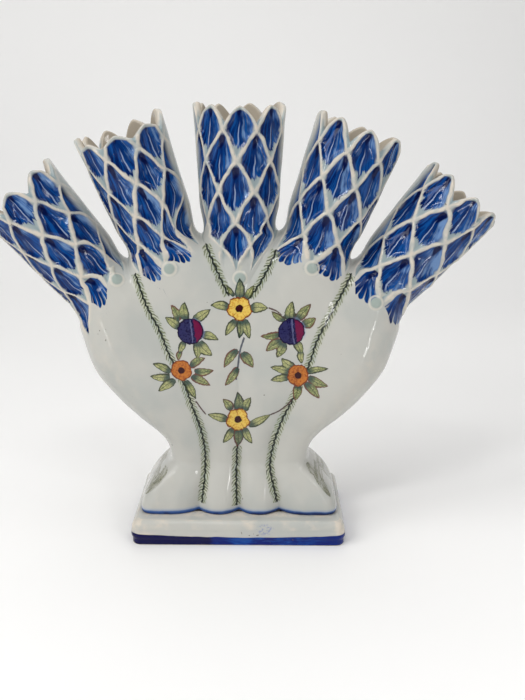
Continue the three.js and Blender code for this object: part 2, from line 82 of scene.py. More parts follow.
RECESS_DEPTH = 1.2
HALF_PITCH_SLOPE = math.tan(FAN_PITCH / 2)
MIDDLE_LOBE = 2
LAST_LOBE = 4
QUARTER = math.pi / 2
# A distance beyond the reach of every fold, rim and painted form
FAR = 99


def smooth(low, high, value):
    """0 below low, 1 above high, with a soft step between."""
    t = np.clip((value - low) / (high - low), 0, 1)
    return t * t * (3 - 2 * t)


def mix(a, b, t):
    return a + (b - a) * t


def curve_through(rows, places):
    """Uniform Catmull-Rom curve through rows of numbers, at places from 0 to 1."""
    rows = np.asarray(rows, float)
    rows = np.vstack([2 * rows[0] - rows[1], rows, 2 * rows[-1] - rows[-2]])
    at = np.clip(places, 0, 1) * (len(rows) - 3)
    i = np.minimum(at.astype(int), len(rows) - 4)
    w = (at - i)[:, None]
    before, a, b, after = rows[i], rows[i + 1], rows[i + 2], rows[i + 3]
    out, into = (b - before) / 2, (after - a) / 2
    return (2 * a - 2 * b + out + into) * w ** 3 + (3 * b - 3 * a - 2 * out - into) * w ** 2 + out * w + a


def outer_side(lobe, across):
    """Whether a place lies on the free side of one of the two end lobes."""
    return (lobe == 0) & (across < 0) | (lobe == LAST_LOBE) & (across > 0)


def round_lobe(angles):
    """Sine and cosine of angles in one row, with nothing left of the cosine at the very sides."""
    across, along = np.sin(angles)[None, :], np.maximum(np.cos(angles)[None, :], 0)
    return across, np.where(np.abs(across) > 1 - 1e-12, 0, along)


def straight_half_width(radius, inset=0):
    root = NOTCH_RADIUS * HALF_PITCH_SLOPE - NOTCH_GAP / 2
    rim = RIM_RADIUS * HALF_PITCH_SLOPE - RIM_GAP / 2
    return root + (rim - root) * (radius - NOTCH_RADIUS) / (RIM_RADIUS - NOTCH_RADIUS) - inset


def neighbour_half_width(radius, inset=0, drop=0):
    reach = radius * HALF_PITCH_SLOPE
    rise = (radius - NOTCH_RADIUS + drop) / (NOTCH_ROUND + drop)
    opened = np.sqrt(np.clip(1 - np.clip(1 - rise, 0, 1) ** 2, 0, 1))
    return reach - (reach - straight_half_width(radius, inset)) * opened


def spout_half_depth(radius, inset=0):
    share = (radius - NOTCH_RADIUS) / (RIM_RADIUS - NOTCH_RADIUS)
    return mix(SPOUT_ROOT_DEPTH, SPOUT_RIM_DEPTH, share) / 2 - inset


def fan_sweep(radius, inset):
    return MIDDLE_LOBE * FAN_PITCH + math.atan(straight_half_width(radius, inset) / radius)


def top_row(radius, inset):
    sweep = fan_sweep(radius, inset)
    return [radius * math.sin(sweep), FAN_HEIGHT + radius * math.cos(sweep), FAN_HEIGHT + radius]


def belly_rows(inset):
    waist = np.array([WAIST_WIDTH / 2, WAIST_HEIGHT, WAIST_HEIGHT])
    top = np.array(top_row(NOTCH_RADIUS, 0))
    rows = waist + (top - waist) * np.array(BELLY_OUTLINE)
    moved = rows.copy()
    for i in range(len(rows)):
        run, climb = (rows[min(i + 1, len(rows) - 1)] - rows[max(i - 1, 0)])[:2]
        length = math.hypot(run, climb)
        moved[i, 0] -= inset * (climb / length if i else 1)
        moved[i, 1] += inset * (run / length if i else 0)
    return moved


def level_rows(share, inner, groove, **rows):
    """A dictionary of arrays, one entry per level, with the lobes' borders and the folds' depths."""
    one, nil = np.ones_like(groove), np.zeros_like(groove)
    edges = np.stack([-one, -share, -inner, inner, share, one], 1)
    return dict(rows, edges=edges, grooves=np.stack([nil, groove, groove, groove, groove, nil], 1))


def body_levels(heights, inset=0, drop=0):
    """Size of the body at each height, inset from its skin and with a fan lowered by drop."""
    radius = NOTCH_RADIUS - drop
    sweep = fan_sweep(radius, inset)
    depth_rows = BELLY_DEPTH + [[spout_half_depth(radius), 1.5 * FAN_PITCH / sweep, BELLY_DEPTH[-1][2]]]
    outline_rows = np.vstack([belly_rows(inset), top_row(radius, inset)])
    fine = np.linspace(0, 1, 4001)
    places = np.interp(heights, curve_through(outline_rows, fine)[:, 2], fine)
    outline = curve_through(outline_rows, places)
    section = curve_through(depth_rows, places)
    level_radius = heights - FAN_HEIGHT
    closing = np.clip((level_radius - radius + GROOVE_RUN) / GROOVE_RUN, 0, 1)
    apex = np.maximum(level_radius - CENTRE_APEX_RADIUS, 0)
    inner = FAN_PITCH / 2 / sweep * apex / (radius - CENTRE_APEX_RADIUS)
    crest = section[:, 0] - inset
    groove = (section[:, 0] * section[:, 2] - inset) * np.sqrt(1 - closing ** GROOVE_POWER)
    return level_rows(
        section[:, 1], inner, groove, half_width=outline[:, 0], middle=heights,
        sweep=2 * np.arctan((heights - outline[:, 1]) / outline[:, 0]),
        crest=crest, centre_crest=mix(groove, crest, np.clip(apex / CENTRE_SWELL, 0, 1)),
        end_power=2 + (WAIST_END_POWER - 2) * (1 - places) ** 3)


def foot_levels(heights, inset=0):
    """Size of the foot at each height, inset from its skin."""
    climb = np.clip((heights - PLINTH_HEIGHT) / (WAIST_HEIGHT - PLINTH_HEIGHT), 0, 1)
    flare = np.cos(climb * QUARTER)
    edge = np.clip((PLINTH_HEIGHT + FOOT_EDGE_ROUND - heights) / FOOT_EDGE_ROUND, 0, 1)
    tuck = (1 - np.sqrt(1 - edge ** 2)) + inset
    share = mix(BELLY_DEPTH[0][1], FOOT_GROOVE_PLACE, flare)
    crest = mix(BELLY_DEPTH[0][0], FOOT_DEPTH / 2, flare)
    groove = crest * mix(BELLY_DEPTH[0][2], FOOT_GROOVE_DEPTH, flare) - tuck
    nil = np.zeros_like(crest)
    return level_rows(
        share, nil, groove, half_width=mix(WAIST_WIDTH, FOOT_WIDTH, flare) / 2 - tuck, middle=heights,
        sweep=nil, crest=crest - tuck, centre_crest=groove,
        end_power=mix(WAIST_END_POWER, FOOT_END_POWER, flare))


def level_points(levels, lobe, angles, facing):
    """Points of one lobe of every level: rows by levels, columns by angles from side to side."""
    across, along = round_lobe(angles)
    left, right = levels["edges"][:, lobe, None], levels["edges"][:, lobe + 1, None]
    crest = levels["centre_crest" if lobe == MIDDLE_LOBE else "crest"][:, None]
    groove = np.where(across < 0, levels["grooves"][:, lobe, None], levels["grooves"][:, lobe + 1, None])
    place = (left + right) / 2 + (right - left) / 2 * across
    depth = np.hypot(crest * along, groove * across)
    outside = outer_side(lobe, across)
    power = 2 / levels["end_power"][:, None]
    reach = np.sign(across) * np.abs(across) ** power
    place = np.where(outside, (left + right) / 2 + (right - left) / 2 * reach, place)
    depth = np.where(outside, crest * along ** power, depth)
    half, sweep = levels["half_width"][:, None], levels["sweep"][:, None]
    middle = levels["middle"][:, None] + np.zeros_like(place)
    flat = np.abs(sweep) < 1e-6
    bend = half / np.sin(np.where(flat, 1, sweep))
    x = np.where(flat, half * place, bend * np.sin(sweep * place))
    z = np.where(flat, middle, middle - bend * (1 - np.cos(sweep * place)))
    return np.stack([x, facing * depth, z], 2)


def collar_points(radii, lobe, angles, facing, inset, drop):
    """Points of one lobe between the gaps' bottoms and the spout's seat."""
    across, along = round_lobe(angles)
    radius = radii[:, None]
    half = neighbour_half_width(radius, inset, drop)
    offset = np.where(outer_side(lobe, across), straight_half_width(radius, inset), half) * across
    lean = (lobe - MIDDLE_LOBE) * FAN_PITCH
    flatness = np.clip((radius - NOTCH_RADIUS) / (SEAT_RADIUS - NOTCH_RADIUS), 0, 1)
    turn = lean + np.arctan(offset / radius)
    x = mix(radius * np.sin(turn), radius * math.sin(lean) + offset * math.cos(lean), flatness)
    z = mix(radius * np.cos(turn), radius * math.cos(lean) - offset * math.sin(lean), flatness)
    return np.stack([x, facing * spout_half_depth(radius, inset) * along + 0 * x, FAN_HEIGHT + z], 2)


def spout_points(radii, inset, lobe, world):
    """Points of a spout's wall: radii and inset by row and column, world angle round the spout."""
    half = straight_half_width(radii) - inset
    depth = spout_half_depth(radii) - inset
    lean = (lobe - MIDDLE_LOBE) * FAN_PITCH
    offset = half * np.sin(world)
    x = radii * math.sin(lean) + offset * math.cos(lean)
    z = radii * math.cos(lean) - offset * math.sin(lean)
    return np.stack([x, -depth * np.cos(world), FAN_HEIGHT + z], 2)


# How finely the skins are cut
COARSE = 1
FRONT_STEPS = 80 // COARSE
BACK_STEPS = 56 // COARSE
ROW_STEP = .45 * COARSE
INNER_ROW_STEP = 2
RIM_STEPS = 10
FOOT_LIP_ROWS = [0, .08, .25, .5, .85, 1.3]

# The net of ribs: its even layout, and where the listed cells of the front lie
NET_COLUMNS = 8
NET_RADII = [159.5, 146.2, 133, 120.2, 107.6, 96.4, 85.4]
NET_TURN = np.radians([1, 1, 2, 11, 8])
NET_TWIST = np.radians([0, 10, -9, 20, 30])
NET_SPREAD = np.radians([-8, -12, 15, 23, 32])
NET_BACK_TURN = math.radians(-29)
NET_ARCH = .74
# Cells that depart from the even layout: degrees round the spout and distance from the fan's middle
HAND_LAID = [
    [(1, 145.5), (46, 144.6), (-25, 132.6), (27, 132.1), (60, 122.7), (3, 120.7), (38, 109.5), (-22, 108.9),
     (7, 97.8)],
    [(-43, 144.3), (1, 144.5), (45, 145.5), (-19, 130.9), (29, 131.9), (60, 123.1), (-37, 118.9),
     (12, 117.9), (48, 107.3), (-5, 106.4), (27, 96.4), (-27, 93)],
    [(-40, 146.7), (1, 147.1), (48, 146.2), (-28, 134), (23, 134), (-52, 120.7), (-6, 121.3), (51, 120.2),
     (-34, 106.3), (23, 108.7), (-3, 97.9), (46, 97.9)],
    [(-35, 145.5), (10, 145.5), (57, 147.3), (-54, 132.5), (-9, 131.4), (40, 132.9), (-34, 118.1),
     (20, 119.6), (-56, 105.4), (-4, 107), (52, 108.8), (-34, 95.1), (36, 95.2)],
    [(-39, 145.2), (12, 147.3), (-63, 132.6), (-14, 132.3), (41, 134.6), (-37, 118.2), (18, 122.2),
     (-59, 107.6), (-7, 109.1), (-30, 95.8), (40, 96.7)],
]
HAND_REACH = .42
NET_LOWEST_ROW = 4
NET_RELIEF = 1.5
RIB_SHARE = .22
MIDRIB_HEIGHT = .4
MIDRIB_WIDTH = .09
RIB_RISE = .8
PETAL_HEIGHT = 8.1
PETAL_ROUNDNESS = .8
PETAL_VARIATION = .5
FRONT_PETAL_DROPS = [2, 4.6, 1.2, .2, .6]
RIM_CROWN = 1.1
# Cells of the lowest row by column: a leaf in the net, a loose fan of strokes, or left bare
LEAF, FAN, BARE = 1, 2, 3
LOW_CELLS = [
    {-2: LEAF, -1: LEAF, 0: FAN, 4: FAN, 3: FAN},
    {-1: FAN, 0: FAN, 4: FAN, 3: FAN},
    {0: LEAF, 1: LEAF, 4: LEAF, 3: LEAF},
    {-1: FAN, 0: FAN, 4: FAN, -3: FAN},
    {-1: FAN, 0: FAN, 2: LEAF, 4: FAN, -3: FAN},
]
# Degrees round each spout, to the left and to the right, from where its side is left plain
PLAIN_FROM = [(78, 67), (78, 66), (68, 68), (66, 78), (73, 78)]
PLAIN_RUN = 9
# How far the net may run on below its lowest row
NET_TAIL = 14
CELL_NUMBERS = ("cell_across", "cell_up", "cell_depth", "cell_kind", "cell_tone")
# Share of the way over the rim up to which a point counts as outside
OUTSIDE = .3

# Small round bosses below the net: across and up on the front, their size and the low ring round them
BEADS = [(-53.9, 123.8), (-30.4, 129.2), (.7, 125.3), (32.4, 129.7), (61, 114.4)]
BEAD_RADIUS = 2.7
BEAD_HEIGHT = .9
BEAD_RING = .3
BEAD_RING_WIDTH = .35
FUNNEL_LENGTH = 6
FUNNEL_WIDTH = 1.5
FUNNEL_HEIGHT = .5

# How much lower the four gaps end than an even fan, and how far that reaches
GAP_DROPS = [1.5, 2.6, .9, 1.4]
GAP_REACH = 5

# Softened folds between the lobes and softened waist
FOLD_REACH = 3.2
WAIST_REACH = 5
SOFTEN_ROUNDS = 60 // COARSE ** 2
SOFTEN_SHARE = .6
HAND_WAVER = .22
# Points become one where they round to the same step of a millimetre
WELD_STEPS = 200


def wander(points, size, seed):
    """Smooth noise of about -1 to 1 that changes over a length of size."""
    random = np.random.default_rng(seed)
    total = 0
    for k in range(7):
        wave = random.normal(size=3) / size * (1 + .35 * k)
        total = total + np.sin(points @ wave * 2.6 + random.uniform(0, 6.3)) / (1 + .35 * k)
    return total / 3


class Skin:
    """Grids of points that share their edges, with named numbers kept at every point."""

    def __init__(self):
        self.points, self.faces, self.pieces, self.numbers, self.count = [], [], [], {}, 0

    def add(self, points, piece, flip, **numbers):
        rows, columns = points.shape[:2]
        index = self.count + np.arange(rows * columns).reshape(rows, columns)
        quads = np.stack([index[:-1, :-1], index[:-1, 1:], index[1:, 1:], index[1:, :-1]], -1)
        quads = quads.reshape(-1, 4)
        self.faces.append(quads[:, ::-1] if flip else quads)
        self.pieces.append(np.full(len(quads), piece))
        self.points.append(points.reshape(-1, 3))
        for name, value in numbers.items():
            self.numbers.setdefault(name, []).append((value + np.zeros((rows, columns))).ravel())
        self.count += rows * columns

    def weld(self):
        """Joins points that lie within a few microns and drops the quads that collapse."""
        points = np.vstack(self.points)
        keys = np.round(points * WELD_STEPS).astype(np.int64)
        order = np.lexsort((keys[:, 2], keys[:, 1], keys[:, 0]))
        ranked = keys[order]
        fresh = np.any(ranked[1:] != ranked[:-1], axis=1)
        group = np.concatenate([[0], np.cumsum(fresh)])
        place = np.empty(len(points), int)
        place[order] = group
        first = order[np.concatenate([[True], fresh])]
        self.points = points[first]
        self.faces = place[np.vstack(self.faces)]
        self.pieces = np.concatenate(self.pieces)
        self.numbers = {name: np.concatenate(parts)[first] for name, parts in self.numbers.items()}
        pairs = [(0, 1), (1, 2), (2, 3), (3, 0), (0, 2), (1, 3)]
        keep = sum((self.faces[:, a] == self.faces[:, b]).astype(int) for a, b in pairs) <= 1
        self.faces, self.pieces = self.faces[keep], self.pieces[keep]
        edges = np.vstack([self.faces[:, [i, (i + 1) % 4]] for i in range(4)])
        edges = edges[edges[:, 0] != edges[:, 1]]
        self.ends, self.others = np.concatenate([edges, edges[:, ::-1]]).T
        self.valence = np.maximum(np.bincount(self.ends, minlength=len(self.points)), 1)

    def normals(self):
        a, b, c, d = (self.points[self.faces[:, i]] for i in range(4))
        across = np.cross(c - a, d - b)
        total = np.zeros_like(self.points)
        for corner in range(4):
            for axis in range(3):
                total[:, axis] += np.bincount(
                    self.faces[:, corner], across[:, axis], minlength=len(self.points))
        return total / np.maximum(np.linalg.norm(total, axis=1), 1e-9)[:, None]

    def neighbour_mean(self, values):
        """Mean over each point's neighbours, of one number or of several in columns."""
        mean = [np.bincount(self.ends, column[self.others], minlength=len(values)) / self.valence
                for column in values.reshape(len(values), -1).T]
        return np.stack(mean, -1).reshape(values.shape)

    def soften(self, weight, rounds):
        """Relaxes the points towards their neighbours where weight says so."""
        for _ in range(rounds):
            share = (weight * SOFTEN_SHARE)[:, None]
            self.points = mix(self.points, self.neighbour_mean(self.points), share)


def even_place(lobe, world, radius):
    """Column and row of a place in an evenly laid net."""
    rise = np.clip((NET_RADII[1] - radius) / (NET_RADII[1] - NET_RADII[5]), -.3, 1.2)
    base = world - NET_TURN[lobe] - NET_TWIST[lobe] * rise
    own = base
    for _ in range(8):
        own = base - NET_SPREAD[lobe] * rise * np.sin(own)
    own = own + NET_BACK_TURN * smooth(-.6, 1, -np.cos(world))
    return own / (2 * math.pi) * NET_COLUMNS, np.interp(-radius, -np.array(NET_RADII), np.arange(-1, 6))


def nearest_cell(column, row, wanted):
    shift = np.where(wanted % 2 == 0, 0, .5)
    number = np.round(column - shift)
    across, up = (column - shift - number) * 2, wanted - row
    arch = np.where(up > 0, np.clip(1 - up, 0, 1) ** NET_ARCH, 1 - np.minimum(np.abs(up), 1) ** NET_ARCH)
    depth = np.where(np.abs(up) > 1, -1, arch - np.abs(across))
    return np.stack([across, up, depth, wanted, number])


def net_place(lobe, world, radius):
    """Column and row in the net, drawn over to the listed cells."""
    column, row = even_place(lobe, world, radius)
    share, pull_across, pull_up = .2, 0, 0
    for degrees, distance in HAND_LAID[lobe]:
        laid_column, laid_row = even_place(lobe, np.array(math.radians(degrees)), np.array(distance))
        choices = [nearest_cell(laid_column, laid_row, np.round(laid_row) + i) for i in (-1, 0, 1)]
        across, up = min(choices, key=lambda cell: cell[0] ** 2 + (cell[1] * 2) ** 2)[:2]
        near = np.exp(-((column - laid_column) ** 2 * 1.6 + (row - laid_row) ** 2) / HAND_REACH)
        share = share + near
        pull_across, pull_up = pull_across + near * across / 2, pull_up - near * up
    return column - pull_across / share, row - pull_up / share


def net_cell(lobe, world, radius):
    """Cell of the net that holds a place: across and up in it, depth from its border, kind and tone."""
    column, row = net_place(lobe, world, radius)
    seeds = np.stack([np.cos(world) * 17, np.sin(world) * 17, radius + 60 * lobe], -1)
    column, row = column + .03 * wander(seeds, 9, 3), row + .03 * wander(seeds, 9, 4)
    found = nearest_cell(column, row, np.floor(row))
    other = nearest_cell(column, row, np.floor(row) + 1)
    across, up, depth, wanted, number = np.where(found[2] > other[2], found, other)
    half = NET_COLUMNS // 2
    number = (number + half - 1) % NET_COLUMNS - (half - 1)
    kind = np.where(wanted < NET_LOWEST_ROW, LEAF, 0)
    for low, value in LOW_CELLS[lobe].items():
        kind = np.where((wanted == NET_LOWEST_ROW) & (number == low), value, kind)
    if lobe == MIDDLE_LOBE:
        kind = np.where((wanted == NET_LOWEST_ROW + 1) & ((number == 0) | (number == -1)), BARE, kind)
    tone = np.sin(wanted * 12.99 + number * 78.23 + lobe * 37.7) * 4375.85
    return across, up, np.where(kind > 0, depth, 0), kind, tone - np.floor(tone)


def petal_drop(lobe, world):
    """How far the rim lies below the petals' tips."""
    column = net_place(lobe, world, np.full_like(world, RIM_RADIUS - 6))[0]
    across = np.abs(column - np.round(column)) * 2
    number = np.round(column) % NET_COLUMNS + lobe * 3.7
    front = FRONT_PETAL_DROPS[lobe] * smooth(.2, .7, np.cos(world))
    lower = (front + PETAL_VARIATION * (1 + np.sin(number * 5.1))) * (1 - across ** 2)
    arch = mix(across, 1 - np.cos(across * QUARTER), PETAL_ROUNDNESS)
    return PETAL_HEIGHT * arch + lower + PETAL_VARIATION * across ** 2


PIECES = ["foot", "body_front", "body_back", "spout_far_left", "spout_left", "spout_centre",
          "spout_right", "spout_far_right"]
FOOT, BODY_FRONT, BODY_BACK, FIRST_SPOUT = range(4)


def round_angles(angles, facing):
    """Angles of one half, in a row, as angles all the way round from the front."""
    return (angles if facing < 0 else math.pi - angles)[None, :]


def add_levels(skin, levels, lobe, angles, facing, piece, inside):
    """One lobe of a run of levels, with each point's distance to the folds beside it."""
    width = levels["half_width"] * (levels["edges"][:, lobe + 1] - levels["edges"][:, lobe]) / 2
    beside = width[:, None] * (1 - np.abs(np.sin(angles)))[None, :]
    points = level_points(levels, lobe, angles, facing)
    skin.add(points, piece, (facing > 0) != (inside > 0), lobe=lobe, world=round_angles(angles, facing),
             fold=np.where(outer_side(lobe, angles)[None, :], FAR, beside), inside=inside, below_rim=FAR)
    return points[-1]


def gap_distance(radii, lobe, world):
    """Distance, seen from the front, of a spout's points from the bottom of the gap beside them."""
    beside = straight_half_width(radii) * (1 - np.abs(np.sin(world)))
    gap = np.hypot(beside, radii - NOTCH_RADIUS)
    return np.where(outer_side(lobe, np.sin(world)), FAR, gap)


def add_spout(skin, lobe, angles, facing):
    """One half of a spout: up the outside, over the petals' round lip and down the inside."""
    world = round_angles(angles, facing)
    rim = RIM_RADIUS - petal_drop(lobe, world)
    neck = (NET_RADII[1] + NET_RADII[2]) / 2
    low = np.linspace(SEAT_RADIUS, neck, int((neck - SEAT_RADIUS) / ROW_STEP))[:, None]
    high = np.linspace(0, 1, int((RIM_RADIUS - neck) / ROW_STEP))[1:, None]
    turn = np.linspace(0, math.pi, RIM_STEPS)[1:, None]
    down = np.linspace(0, 1, int((RIM_RADIUS - SEAT_RADIUS) / ROW_STEP / 2))[1:, None]
    radii = np.vstack([low + 0 * rim, mix(neck, rim - RIM_CROWN, high),
                       rim - RIM_CROWN * (1 - np.sin(turn)), mix(rim - RIM_CROWN, SEAT_RADIUS, down)])
    nil = np.zeros((len(low) + len(high), 1))
    inset = np.vstack([nil, RIM_WALL / 2 * (1 - np.cos(turn)),
                       mix(RIM_WALL, WALL, np.minimum(down * 2.5, 1))])
    inside = np.vstack([nil, turn / math.pi, 1 + 0 * down])
    skin.add(spout_points(radii, inset, lobe, world), FIRST_SPOUT + lobe, facing > 0, lobe=lobe,
             world=world, fold=gap_distance(radii, lobe, world), inside=inside, below_rim=rim - radii)


def vase_skin():
    """Foot, body, collars and spouts as one sheet, outside and in."""
    skin = Skin()
    notch_height = FAN_HEIGHT + NOTCH_RADIUS
    foot_heights = np.concatenate([PLINTH_HEIGHT + np.array(FOOT_LIP_ROWS), np.linspace(
        PLINTH_HEIGHT + 1.8, WAIST_HEIGHT, int((WAIST_HEIGHT - PLINTH_HEIGHT) / ROW_STEP))])
    body_heights = np.concatenate([
        np.linspace(WAIST_HEIGHT, notch_height - 4, int((notch_height - WAIST_HEIGHT) / ROW_STEP)),
        np.linspace(notch_height - 3.7, notch_height, 14 // COARSE)])
    inner_top = notch_height - WEB_THICKNESS
    inner_body = np.linspace(WAIST_HEIGHT, inner_top, int((inner_top - WAIST_HEIGHT) / INNER_ROW_STEP))
    foot_rows = int((WAIST_HEIGHT - PLINTH_HEIGHT) / INNER_ROW_STEP)
    inner_foot = np.linspace(PLINTH_HEIGHT, WAIST_HEIGHT, foot_rows)
    collar_radii = np.linspace(NOTCH_RADIUS, SEAT_RADIUS, 12 // COARSE)
    inner_collar = np.linspace(NOTCH_RADIUS - WEB_THICKNESS, SEAT_RADIUS, 12 // COARSE)
    # First the outside, then the inside
    levels = [(foot_levels(foot_heights), body_levels(body_heights)),
              (foot_levels(inner_foot, WALL), body_levels(inner_body, WALL, WEB_THICKNESS))]
    collars = [(collar_radii, 0, 0), (inner_collar, WALL, WEB_THICKNESS)]
    for lobe in range(LAST_LOBE + 1):
        for facing, steps, half in ((-1, FRONT_STEPS, BODY_FRONT), (1, BACK_STEPS, BODY_BACK)):
            angles = np.linspace(-QUARTER, QUARTER, steps + 1)
            world = round_angles(angles, facing)
            tops = []
            for inside, (foot, body) in enumerate(levels):
                add_levels(skin, foot, lobe, angles, facing, FOOT, inside)
                tops.append(add_levels(skin, body, lobe, angles, facing, half, inside))
            for inside, (top, (radii, inset, drop)) in enumerate(zip(tops, collars)):
                points = collar_points(radii, lobe, angles, facing, inset, drop)
                blend = 1 - smooth(radii[0], radii[-1], radii)
                points = points + (top - points[0]) * blend[:, None, None]
                skin.add(points, half, (facing > 0) != (inside > 0), lobe=lobe, world=world,
                         fold=gap_distance(radii[:, None], lobe, world), inside=inside, below_rim=FAR)
            add_spout(skin, lobe, angles, facing)
    skin.weld()
    for number, drop in enumerate(GAP_DROPS):
        lean = (number + .5 - MIDDLE_LOBE) * FAN_PITCH
        axis = np.array([math.sin(lean), math.cos(lean)])
        gap = np.hypot(skin.points[:, 0] - NOTCH_RADIUS * axis[0],
                       skin.points[:, 2] - FAN_HEIGHT - NOTCH_RADIUS * axis[1])
        skin.points[:, [0, 2]] -= (drop * np.exp(-(gap / GAP_REACH) ** 2))[:, None] * axis
    return skin


def bead_distance(skin):
    """Distance from the nearest bead's middle, and depth inside the funnel that runs down to it."""
    points = skin.points
    nearest, funnel = np.full(len(points), float(FAR)), np.full(len(points), -9.0)
    for side in (-1, 1):
        facing = np.where((points[:, 1] * side > 0) & (skin.numbers["inside"] == 0))[0]
        for across, up in BEADS:
            gaps = np.hypot(points[facing, 0] + side * across, points[facing, 2] - up)
            middle = points[facing[np.argmin(gaps)]]
            nearest = np.minimum(nearest, np.linalg.norm(points - middle, axis=1))
            lean = math.atan2(-side * middle[0], middle[2] - FAN_HEIGHT)
            over, above = -side * (points[facing, 0] - middle[0]), points[facing, 2] - middle[2]
            run = over * math.sin(lean) + above * math.cos(lean)
            aside = np.abs(over * math.cos(lean) - above * math.sin(lean))
            wide = .5 + FUNNEL_WIDTH * np.clip(run / FUNNEL_LENGTH, 0, 1) ** 2
            inside = np.minimum(np.minimum(run, FUNNEL_LENGTH - run), wide - aside)
            funnel[facing] = np.maximum(funnel[facing], inside)
    return nearest, funnel


def raise_relief(skin):
    """Hollows the net's cells, swells the beads and leaves the slight waver of hand work."""
    numbers = skin.numbers
    outside = numbers["inside"] < OUTSIDE
    lobe, world = numbers["lobe"].astype(int), numbers["world"]
    lean = (lobe - MIDDLE_LOBE) * FAN_PITCH
    radius = skin.points[:, 0] * np.sin(lean) + (skin.points[:, 2] - FAN_HEIGHT) * np.cos(lean)
    for name in CELL_NUMBERS:
        numbers[name] = np.zeros(len(skin.points))
    for one in range(LAST_LOBE + 1):
        here = outside & (lobe == one) & (radius > NET_RADII[-1] - NET_TAIL)
        for name, value in zip(CELL_NUMBERS, net_cell(one, world[here], radius[here])):
            numbers[name][here] = value
    turn = np.degrees(np.arcsin(np.clip(np.sin(world), -1, 1)))
    limit = np.array(PLAIN_FROM)[lobe, (turn > 0).astype(int)]
    plain = smooth(0, PLAIN_RUN, np.abs(turn) - limit)
    numbers["net_plain"] = plain
    across, up, depth, kind = (numbers[name] for name in CELL_NUMBERS[:4])
    hollow = NET_RELIEF * (1 - np.exp(-(np.maximum(depth, 0) / RIB_SHARE) ** 2))
    bare = np.where(kind == BARE, smooth(0, .7, up) * .7, 1)
    hollow *= np.where(kind == FAN, smooth(-.15, .45, up), bare)
    rib = np.exp(-(across / MIDRIB_WIDTH) ** 2) * smooth(-.95, -.6, up) * (1 - smooth(.1, .6, up))
    hollow -= MIDRIB_HEIGHT * rib * smooth(.1, .3, depth) * (kind == LEAF)
    rim_fade = 1 - smooth(.02, OUTSIDE, numbers["inside"])
    net = hollow * (1 - plain) * rim_fade
    clear = np.minimum(smooth(3, 12, numbers["fold"]), smooth(NET_RADII[-1], NET_RADII[3], radius))
    net -= RIB_RISE * clear * rim_fade
    away, funnel = bead_distance(skin)
    numbers["bead"], numbers["funnel"] = away, funnel
    dome = BEAD_HEIGHT * np.sqrt(np.clip(1 - (away / BEAD_RADIUS) ** 2, 0, 1))
    ring = BEAD_RING * np.exp(-((away - BEAD_RADIUS - BEAD_RING) / BEAD_RING_WIDTH) ** 2)
    waver = HAND_WAVER * wander(skin.points, 24, 11) + .4 * HAND_WAVER * wander(skin.points, 9, 12)
    still = smooth(0, 3, skin.points[:, 2] - PLINTH_HEIGHT)
    stem = FUNNEL_HEIGHT * smooth(0, .8, funnel) * (depth <= .05)
    lift = np.where(outside, dome + ring + stem - net, 0) + waver * still
    skin.points = skin.points + skin.normals() * lift[:, None]


def rounded_ring(half_width, half_depth, corner, height, per_corner=10, per_side=24):
    """Points round a rectangle with rounded corners, the same number for every size."""
    corner = min(corner, half_width, half_depth)
    middles = np.array([(1, 1), (-1, 1), (-1, -1), (1, -1)]) * [half_width - corner, half_depth - corner]
    share = np.linspace(0, 1, per_side)[1:-1, None]
    ring = []
    for quarter in range(4):
        turns = (quarter + np.linspace(0, 1, per_corner)) * math.pi / 2
        arc = middles[quarter] + corner * np.stack([np.cos(turns), np.sin(turns)], -1)
        turn = (quarter + 1) * math.pi / 2
        target = middles[(quarter + 1) % 4] + corner * np.array([math.cos(turn), math.sin(turn)])
        ring += [arc, arc[-1] + (target - arc[-1]) * share]
    ring = np.vstack(ring)
    return np.hstack([ring, np.full((len(ring), 1), height)])


def plinth_skin():
    """The plinth as one closed sheet: foot ring, band, shoulder, top, well and recess."""
    rise = PLINTH_HEIGHT - PLINTH_SHOULDER_HEIGHT
    outside = [(1.2, 0), (.8, .12), (.6, .5), (.6, BAND_HEIGHT - 1.2), (.52, BAND_HEIGHT - .7),
               (.3, BAND_HEIGHT - .1), (.1, BAND_HEIGHT + .5), (0, BAND_HEIGHT + 1.2),
               (.1, BAND_HEIGHT + 2.2), (.4, PLINTH_SHOULDER_HEIGHT)]
    for turn in np.linspace(0, QUARTER, 10)[1:]:
        outside.append((.4 + PLINTH_SHOULDER * (1 - math.cos(turn)),
                        PLINTH_SHOULDER_HEIGHT + rise * math.sin(turn)))
    top = [(6, PLINTH_HEIGHT), (12, PLINTH_HEIGHT), (12.6, PLINTH_HEIGHT - .6), (12.6, FLOOR_HEIGHT + 1),
           (13.6, FLOOR_HEIGHT), (20, FLOOR_HEIGHT), (PLINTH_DEPTH / 2, FLOOR_HEIGHT)]
    below = [(PLINTH_DEPTH / 2, RECESS_DEPTH), (12, RECESS_DEPTH), (9, RECESS_DEPTH),
             (8.3, RECESS_DEPTH - .3), (8, 0), (4, 0), (1.9, 0)]
    rows = np.stack([rounded_ring(PLINTH_WIDTH / 2 - inset, PLINTH_DEPTH / 2 - inset,
                                  max(PLINTH_CORNER - .6 * inset, 1), height)
                     for inset, height in outside + top + below])
    rows = np.concatenate([rows, rows[:, :1]], axis=1)
    fine = np.vstack([np.linspace(a, b, 3)[:-1] for a, b in zip(rows[:-1], rows[1:])] + [rows[-1:]])
    skin = Skin()
    skin.add(fine, 0, False, inside=0, fold=FAR)
    skin.weld()
    waver = .25 * wander(skin.points, 30, 21) + .1 * wander(skin.points, 8, 22)
    lift = waver * smooth(.3, 3, skin.points[:, 2]) * (skin.points[:, 2] < PLINTH_HEIGHT - .1)
    skin.points = skin.points + skin.normals() * lift[:, None]
    return skin


